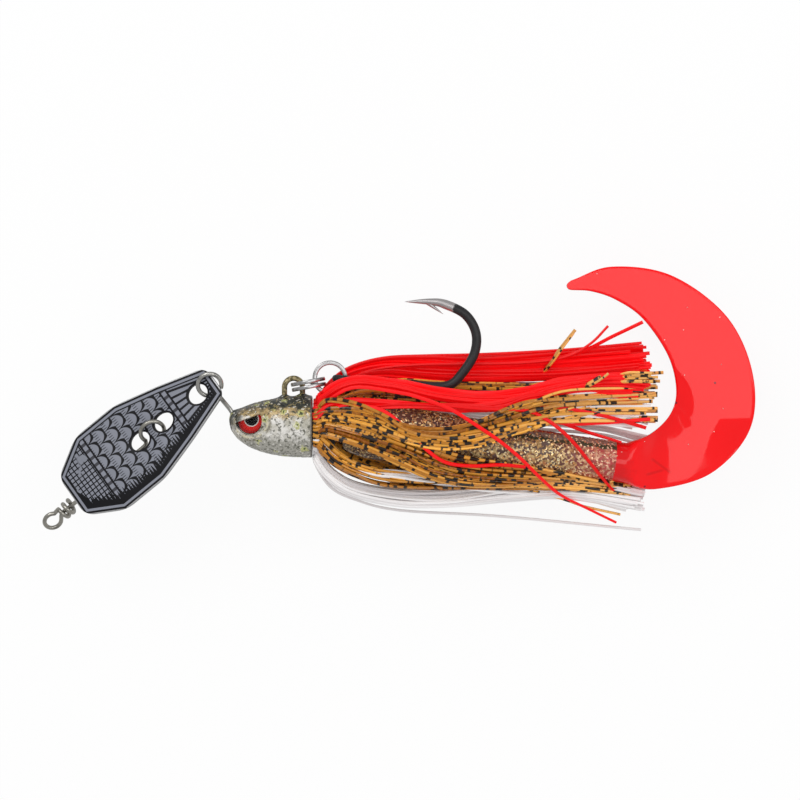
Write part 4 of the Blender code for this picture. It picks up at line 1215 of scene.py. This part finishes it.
# Skirt: silicone strands in three colours, held on the neck by a rubber sleeve and flaring over the trailer.
# Red lies along the back on both sides of the hook, barred amber on the flanks and pearl white below.
STRAND_WIDTH = 0.74
STRAND_THICKNESS = 0.5
SKIRT_ROOT = HEAD_BACK.x + 0.45
ROOT_RADIUS = (4.3, 5.6)
ROOT_STEP = (0.9, 0.25)  # first step of a strand from its root, back and out
ROOT_SCALE = 0.62  # of the section at the root
ROOT_SWELL = 0.1  # of the section in each step from there
HOOK_ROOM = 1.75  # kept free on each side of the hook's plane
HOOK_ROOM_START = (-15.2, -4.5)  # in X and Y
TRAILER_ROOM = 0.1
STRAND_STEPS = 6
STRAND_CORNER = 0.2
STRAND_DRIFT = 0.26  # change of lane to the tip, as a share of the spread
STRAND_STRAY = (0.5, 0.22, 0.15)
STRAND_TRIM = 3.2  # most that a tip is cut short
STRAND_TWIST = 0.5
STRAND_LOWEST = 0.35  # over the plane on which the lure lies
LOOSE_COUNT = 8  # strands of a bundle that is as loose as it gets
draw = random.Random(11)


def off_trailer(point, spare):
    """Moves a point that is too near the trailer out to its surface."""
    along = (point - TRAILER_START).dot(TRAILER_AXIS)
    if not 0 < along < TRAILER_LENGTH:
        return point
    centre = TRAILER_START + TRAILER_AXIS * along
    out = point - centre
    clear = trailer_radius(along) + spare
    return centre + out.normalized() * clear if out.length < clear else point


def off_hook(point):
    """Moves a point beside the hook away from the plane that the hook swings in."""
    side = point.z - NOSE.z
    if point.x < HOOK_ROOM_START[0] or point.y < HOOK_ROOM_START[1] or abs(side) > HOOK_ROOM:
        return point
    return Vector((point.x, point.y, NOSE.z + math.copysign(HOOK_ROOM, side)))


def strand_path(route):
    """Path of one strand along its route, kept off the trailer and the hook and twisted a little."""
    line = []
    for point in spline(route, STRAND_STEPS):
        point = off_hook(off_trailer(point, STRAND_THICKNESS / 2 + TRAILER_ROOM))
        line.append(Vector((point.x, point.y, max(point.z, STRAND_LOWEST))))
    twist = Vector((0, draw.gauss(0, STRAND_TWIST), draw.gauss(0, STRAND_TWIST)))
    scales = [min(1.0, ROOT_SCALE + ROOT_SWELL * i) for i in range(len(line))]
    path = Path(line, scales=scales, shade=draw.random())
    for i, point in enumerate(line):
        away = Vector((0, point.y - HEAD_BACK.y, point.z - HEAD_BACK.z)).normalized() + twist
        path.levels[i] = squared(away, heading(line, i).normalized())
    return path


def bundle(count, turns, spread, pile, guide):
    """Strands from a stretch of the collar along a guide, side by side over its spread and piled in depth."""
    keys = [Vector(key) for key in guide]
    near, middle, far = spread
    loose = min(1.0, count / LOOSE_COUNT)
    paths = []
    for i in range(count):
        lane = 2 * (i + draw.random()) / count - 1 if count > 1 else 0.0
        layer = draw.uniform(-1, 1)
        drift = draw.gauss(0, STRAND_DRIFT)
        turn = math.radians(turns[0] + (turns[1] - turns[0]) * (1 - lane) / 2)
        out = BACK * math.cos(turn) + UP * math.sin(turn)
        root = Vector((SKIRT_ROOT, HEAD_BACK.y, HEAD_BACK.z)) + out * draw.uniform(*ROOT_RADIUS)
        route = [root, root + SIDE * ROOT_STEP[0] + out * ROOT_STEP[1]]
        for k, key in enumerate(keys):
            share = k / (len(keys) - 1)
            ahead = heading(keys, k)
            across = Vector((-ahead.y, ahead.x, 0)).normalized()
            wide = near + (middle - near) * min(1, 2 * share) + (far - middle) * max(0, 2 * share - 1)
            aside = across * wide * (lane + drift * share)
            stray = Vector([draw.gauss(0, size) for size in STRAND_STRAY])
            route.append(key + aside + UP * pile * layer + stray * loose * share)
        trim = draw.uniform(0.0, STRAND_TRIM) if count > 1 else 0.0
        route[-1] -= (route[-1] - route[-2]).normalized() * trim
        paths.append(strand_path(route))
    return paths


def strand(turn, guide):
    """One strand from a turn of the collar that keeps to its guide."""
    return bundle(1, (turn, turn), (0, 0, 0), 0, guide)


def silicone(name, dark, light):
    """Soft strand colour that differs from strand to strand, with the distance along the strand."""
    soft = Finish(name)
    shade = soft.carried("shade")
    far = soft.carried("along")
    return soft, shade, far, soft.mix(shade, dark, light)


def plain_silicone(name, dark, light, glow):
    soft, shade, far, colour = silicone(name, dark, light)
    streak = soft.grain(soft.place(), 1.5, 2.0)
    # Painted shade: each strand is darker over its first few millimetres, at the collar where the strands
    # crowd together.
    colour = soft.mix(far.rise(3.5, 0.5) * 0.3, colour, tuple(0.6 * c for c in dark))
    # Painted light: the strands glow in their own colour at the given strength, a glow that stands in for
    # light through the silicone.
    return soft.surface({"Base Color": colour, "Roughness": streak * 0.15 + 0.3, "Specular IOR Level": 0.3,
                         "Emission Color": colour, "Emission Strength": glow,
                         "Normal": soft.bump(streak, 0.05, 0.4)})


def barred_silicone():
    soft, shade, far, colour = silicone("amber_silicone", (0.24, 0.064, 0.003), (0.96, 0.46, 0.065))
    place = soft.place()
    ragged = soft.grain(place, 0.7, 2.0)
    beat = soft.node("ShaderNodeCombineXYZ", {}, {0: far * 0.72, 1: shade * 97.0, 2: ragged * 0.6})
    barred = soft.grain(beat, 1.0, 1.0).rise(0.535, 0.60)
    colour = soft.coats(colour, (
        (ragged.rise(0.45, 0.75) * 0.5, (0.70, 0.27, 0.02)),
        (far.rise(40, 64) * 0.6, (0.95, 0.51, 0.15)),
        (barred, (0.016, 0.009, 0.006)),
    ))
    return soft.surface({"Base Color": colour, "Roughness": barred * 0.1 + 0.2, "Specular IOR Level": 0.5,
                         "Normal": soft.bump(ragged, 0.05, 0.4)})


red_strands = [
    *bundle(68, (-12, -78), (0.9, 2.3, 2.8), 2.3, [
        (-13.2, 2.6, 5.5), (-9.2, 5.0, 4.2), (-2.6, 6.3, 3.6), (6.4, 6.0, 3.2), (16.4, 5.6, 3.0),
        (32.4, 6.2, 3.0), (50.5, 7.4, 3.0)]),
    *bundle(40, (14, 58), (0.7, 1.1, 1.9), 0.8, [
        (-15.4, 0.2, 12.2), (-11.6, 2.7, 12.8), (-7.6, 3.6, 13.0), (-3.6, 3.2, 13.0), (0.4, 2.7, 12.9),
        (8.4, 1.0, 12.6), (16.4, 0.2, 12.2), (24.4, 0.7, 11.8), (32.4, 2.6, 11.2), (42.4, 3.6, 10.8),
        (50.5, 3.4, 10.6)]),
    *bundle(10, (55, 72), (0.35, 0.5, 1.3), 0.3, [
        (-13.6, -1.2, 14.0), (-9.6, -0.5, 14.4), (-5.6, -0.6, 14.6), (0.4, -1.1, 14.6), (8.4, -1.7, 14.4),
        (12.4, -1.9, 14.2), (20.4, -1.3, 13.6), (26.4, 0.2, 12.8), (36.4, 1.0, 11.6), (48.4, 0.6, 10.6)]),
    *strand(50, [
        (-9.2, 2.2, 14.4), (0.4, 1.2, 14.8), (4.4, 0.2, 15.2), (8.4, -1.2, 15.8), (11.4, -2.6, 16.2),
        (16.4, -5.8, 16.2), (20.4, -8.6, 15.6), (24.4, -11.8, 14.6), (28.4, -15.8, 12.4),
        (32.4, -19.2, 9.0), (38.4, -22.2, 5.0), (43.8, -24.8, 2.6)]),
    *strand(66, [
        (-10.6, -1.2, 15.0), (-5.6, -1.6, 15.6), (-2.6, -2.6, 15.9), (0.8, -5.2, 15.9), (5.4, -9.8, 15.9),
        (9.4, -12.6, 15.2), (14.4, -13.4, 13.6), (20.4, -13.2, 12.4), (25.4, -13.6, 11.4)]),
    *strand(62, [
        (0.4, -1.0, 15.0), (16.4, -2.0, 15.0), (25.4, -2.4, 14.4), (29.0, -3.8, 14.0), (32.4, -6.2, 13.8),
        (35.4, -9.2, 13.4), (38.4, -12.8, 12.0), (41.4, -16.6, 9.0), (44.4, -19.8, 6.0)]),
    *strand(56, [
        (0.4, -1.2, 14.8), (20.4, -1.4, 13.8), (28.4, -1.2, 13.2), (40.4, -3.2, 12.2), (49.6, -5.8, 11.4)]),
    *strand(60, [
        (0.4, -1.6, 14.8), (20.4, -2.2, 13.8), (32.4, -4.8, 12.4), (40.4, -4.8, 11.6), (50.4, -4.0, 11.0)]),
    *strand(58, [
        (0.4, -1.4, 14.8), (20.4, -1.8, 13.9), (28.7, -3.4, 12.6), (33.0, -4.9, 11.6), (38.0, -6.7, 10.6),
        (44.6, -8.7, 9.2)]),
    *strand(-20, [
        (-11.6, 3.6, 5.5), (0.4, 6.6, 6.0), (24.4, 7.2, 6.0), (33.4, 8.4, 6.2), (38.4, 11.0, 6.4),
        (42.2, 14.6, 6.6)]),
    *strand(-24, [
        (-11.6, 3.2, 5.2), (0.4, 6.2, 5.5), (26.4, 7.4, 5.5), (36.4, 9.4, 5.7), (43.2, 12.6, 5.9),
        (49.0, 15.4, 6.1)]),
]
amber_strands = [
    *bundle(15, (55, 80), (0.9, 1.2, 3.2), 0.6, [
        (-14.4, -2.8, 13.6), (-9.2, -2.9, 14.8), (-3.6, -4.2, 15.4), (0.4, -5.8, 15.8), (5.4, -7.0, 15.9),
        (10.4, -6.9, 15.8), (16.4, -5.6, 15.4), (21.4, -4.0, 14.8), (27.4, -2.3, 13.8), (34.4, -1.2, 12.6),
        (52.0, -0.8, 9.5)]),
    *bundle(8, (60, 80), (0.8, 1.1, 1.2), 0.3, [
        (-14.4, -3.4, 13.8), (-9.2, -3.8, 15.0), (-3.6, -5.4, 15.6), (0.4, -7.2, 15.9), (5.4, -8.6, 16.0),
        (10.4, -8.9, 15.9), (16.4, -8.2, 15.5), (21.4, -6.4, 14.9), (25.4, -5.0, 14.2), (30.4, -3.4, 13.2),
        (38.0, -1.6, 11.8)]),
    *bundle(2, (46, 52), (0.25, 0.5, 0.8), 0.1, [
        (-14.8, -0.6, 14.4), (-12.5, -0.3, 15.0), (-8.1, -1.3, 15.5), (-3.0, -3.6, 16.0), (1.6, -6.7, 16.4),
        (6.4, -8.0, 16.4), (14.4, -8.4, 15.9), (22.4, -6.2, 14.9), (28.4, -4.2, 13.8)]),
    *bundle(12, (-60, -12), (1.0, 1.3, 1.3), 0.5, [
        (-14.2, 0.4, 6.0), (-9.6, 0.9, 5.4), (-3.6, 0.6, 5.0), (6.4, 0.2, 4.8), (20.4, -0.6, 4.4),
        (34.4, -0.8, 3.6)]),
    *bundle(24, (76, 112), (2.2, 2.7, 1.0), 0.8, [
        (-14.0, -5.4, 13.6), (-8.6, -6.8, 15.0), (-3.6, -8.6, 15.6), (1.4, -10.8, 15.4), (7.4, -13.2, 14.2),
        (14.4, -14.8, 12.4), (24.4, -15.6, 10.2), (34.4, -16.2, 8.5), (46.8, -17.8, 6.0)]),
    *bundle(15, (108, 136), (1.3, 1.8, 0.9), 1.0, [
        (-15.2, -9.0, 12.4), (-12.0, -12.0, 12.8), (-7.6, -14.2, 12.4), (-1.6, -15.6, 11.8),
        (8.4, -16.2, 10.6), (22.4, -16.4, 8.6), (34.4, -17.0, 7.0), (46.4, -18.4, 5.0)]),
    *bundle(18, (-60, -100), (1.5, 4.6, 4.8), 0.9, [
        (-13.6, -2.6, 3.2), (-5.6, -0.4, 2.4), (4.4, 0.4, 1.9), (16.4, 0.8, 1.7), (30.4, 0.8, 1.7),
        (40.4, 0.4, 1.8), (52.6, 0.2, 2.0)]),
    *bundle(22, (-100, -140), (1.5, 2.2, 1.6), 0.9, [
        (-14.0, -8.2, 3.5), (-7.6, -12.6, 2.5), (2.4, -15.4, 2.0), (14.4, -16.2, 2.0), (28.4, -17.0, 2.2),
        (46.8, -18.2, 2.5)]),
    *bundle(8, (-25, -45), (0.3, 0.5, 1.1), 0.3, [
        (-12.0, 1.4, 4.7), (-7.0, 2.4, 5.0), (0.4, 3.4, 5.9), (8.4, 2.9, 6.2), (16.4, 2.6, 6.2),
        (28.4, 2.4, 7.0), (36.4, 2.6, 8.4), (42.4, 3.6, 9.6), (46.4, 4.4, 12.0), (52.4, 4.4, 12.0)]),
    *bundle(2, (-20, -26), (0.3, 0.4, 0.5), 0.1, [
        (-10.0, 2.6, 5.0), (0.4, 3.0, 4.6), (18.4, 3.6, 3.4), (25.0, 4.2, 3.0), (28.6, 5.0, 3.6),
        (30.2, 6.8, 6.0), (32.4, 9.8, 7.0), (36.4, 15.2, 7.4)]),
    *bundle(2, (48, 54), (0.3, 0.4, 0.45), 0.1, [
        (-8.0, 1.2, 10.9), (0.4, 1.0, 10.6), (18.4, 0.2, 10.4), (30.4, 1.2, 9.6), (35.6, 1.9, 10.0),
        (38.2, 2.9, 12.4), (40.2, 4.2, 12.8), (42.2, 5.5, 12.9)]),
    *strand(120, [
        (-12.0, -12.0, 13.4), (0.4, -16.0, 12.6), (16.4, -16.6, 10.0), (26.4, -18.2, 8.0),
        (33.4, -20.2, 6.0), (37.4, -21.6, 4.5), (44.6, -23.2, 3.0)]),
]
white_strands = [
    *bundle(52, (136, 222), (0.9, 1.6, 1.9), 2.6, [
        (-16.0, -11.8, 8.6), (-13.6, -15.2, 8.2), (-8.6, -18.2, 7.4), (0.4, -20.0, 6.8), (10.4, -20.0, 6.2),
        (22.4, -18.8, 5.6), (34.4, -18.2, 5.0), (49.4, -20.8, 4.4)]),
    *bundle(3, (118, 132), (0.4, 0.8, 1.4), 0.3, [
        (-15.4, -8.6, 12.8), (-11.0, -12.2, 13.0), (-5.6, -14.4, 12.8), (0.4, -15.0, 12.6),
        (6.4, -15.8, 11.8), (16.4, -17.2, 9.6), (30.4, -18.2, 7.2), (47.4, -20.4, 4.6)]),
    *strand(180, [
        (-16.4, -13.0, 8.0), (-13.6, -17.6, 6.5), (-8.6, -20.2, 5.0), (0.4, -22.4, 3.5), (20.4, -23.6, 2.0),
        (48.8, -26.4, 0.8)]),
    *bundle(26, (-100, -132), (1.2, 4.0, 5.0), 0.5, [
        (-13.6, -5.8, 2.2), (-3.6, -4.2, 1.4), (10.4, -2.6, 1.1), (26.4, -1.8, 1.0), (40.4, -2.4, 1.0),
        (50.8, -4.2, 1.1)]),
    *bundle(8, (-70, -95), (0.6, 1.5, 3.3), 0.3, [
        (-13.6, -2.6, 3.0), (0.4, -2.2, 2.4), (14.4, -3.0, 3.0), (22.4, -3.0, 7.6), (29.4, -2.4, 12.4),
        (38.4, -1.8, 11.8), (50.8, -1.9, 9.6)]),
]
# The last number of each plain colour is the strength of its painted glow.
SKIRT = {
    "red": (red_strands, plain_silicone("red_silicone", (0.65, 0.001, 0.002), (0.97, 0.005, 0.008), 0.2)),
    "amber": (amber_strands, barred_silicone()),
    "white": (white_strands, plain_silicone("white_silicone", (0.66, 0.62, 0.62), (0.88, 0.86, 0.86), 0.06)),
}
for colour, (paths, finish) in SKIRT.items():
    mesh = swept(paths, STRAND_THICKNESS, STRAND_WIDTH, finish, STRAND_CORNER, 2)
    nodes = ["skirt_%s_%s" % (colour, side) for side in ("front", "back")]
    fit(colour + "_strands", mesh, colour + "_silicone", nodes, "head", closed=False)

# Collar and keeper: a rubber sleeve stretched over the neck, which grips the strands by their roots,
# and a corkscrew of steel wire behind it, on which the trailer is screwed. Both are hidden by what they hold.
rubber = Finish("black_rubber")
dust = rubber.grain(rubber.place(), 0.8, 3.0)
rubber.surface({"Base Color": rubber.mix(dust, (0.012, 0.012, 0.012), (0.035, 0.034, 0.033)),
                "Roughness": dust * 0.25 + 0.5, "Normal": rubber.bump(dust, 0.05, 0.5)})
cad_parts["skirt_collar"].material_slots[0].material = rubber.material
keeper_steel = drawn_wire("keeper_steel", (0.62, 0.62, 0.60), 0.22)
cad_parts["keeper_screw"].material_slots[0].material = keeper_steel

# Table and light: a white table top some way below the lure, so that no shadow falls beside it.
# Three soft panels shine from above, and the room gives even light from all round.
PICTURE_WIDTH = 160.0
PICTURE_MIDDLE = Vector((0.39, -0.24, 8.6))
LENS = 300.0
SENSOR = 36.0
TABLE_DROP = 14.0  # room under the lure for its joints to swing
TABLE_HALF = 3.0  # metres
PANEL_HEIGHT = 0.6  # metres


def table():
    shape = bmesh.new()
    bmesh.ops.create_grid(shape, x_segments=1, y_segments=1, size=TABLE_HALF)
    mesh = bpy.data.meshes.new("table")
    shape.to_mesh(mesh)
    shape.free()
    white = Finish("table_white")
    glossy = white.ray("Glossy")
    seen = white.ray("Camera").calc("MAXIMUM", glossy).calc("MAXIMUM", white.ray("Transmission"))
    glow = white.node("ShaderNodeEmission", {}, {"Color": (1.0, 1.0, 1.0), "Strength": 1 - glossy * 0.6})
    plain = Socket(white, white.shader.outputs[0])
    white.surface({"Base Color": (0.86, 0.86, 0.86), "Roughness": 0.9})
    both = white.node("ShaderNodeMixShader", {}, {0: seen * 0.9, 1: plain, 2: glow})
    white.tree.links.new(both.output, white.tree.nodes["Material Output"].inputs["Surface"])
    mesh.materials.append(white.material)
    top = placed(mesh, "table_top")
    top.location.z = -TABLE_DROP * MM


def panel(name, power, size, place, target):
    lamp = bpy.data.lights.new(name, "AREA")
    lamp.energy = power
    lamp.shape = "RECTANGLE"
    lamp.size, lamp.size_y = size
    obj = placed(lamp, name)
    obj.location = place
    obj.rotation_euler = (Vector(target) - Vector(place)).to_track_quat("-Z", "Y").to_euler()


def camera():
    lens = bpy.data.cameras.new("camera")
    lens.lens = LENS
    lens.sensor_width = SENSOR
    lens.clip_end = 10
    eye = placed(lens, "camera")
    eye.location = (PICTURE_MIDDLE + UP * LENS * PICTURE_WIDTH / SENSOR) * MM
    bpy.context.scene.camera = eye


table()
panel("tail_panel", 0.28, (0.27, 0.245), (0.10, 0.0325, PANEL_HEIGHT), (0.10, 0.0325, 0))
panel("long_panel", 0.785, (0.51, 0.37), (0.49, 0.215, PANEL_HEIGHT), (0.49, 0.215, 0))
panel("key_panel", 0.9, (0.3, 0.3), (-0.25, 0.35, 0.5), (0, 0, 0))
world = bpy.data.worlds.new("soft_room")
world.use_nodes = True
world.cycles.sampling_method = "NONE"
room = Graph(world.node_tree)
strength = 0.82 + room.ray("Camera") * 0.18 - room.ray("Glossy") * 0.47
room.feed(world.node_tree.nodes["Background"], {"Color": (1.0, 1.0, 1.0), "Strength": strength})
bpy.context.scene.world = world
bpy.context.scene.view_settings.view_transform = "Standard"
camera()
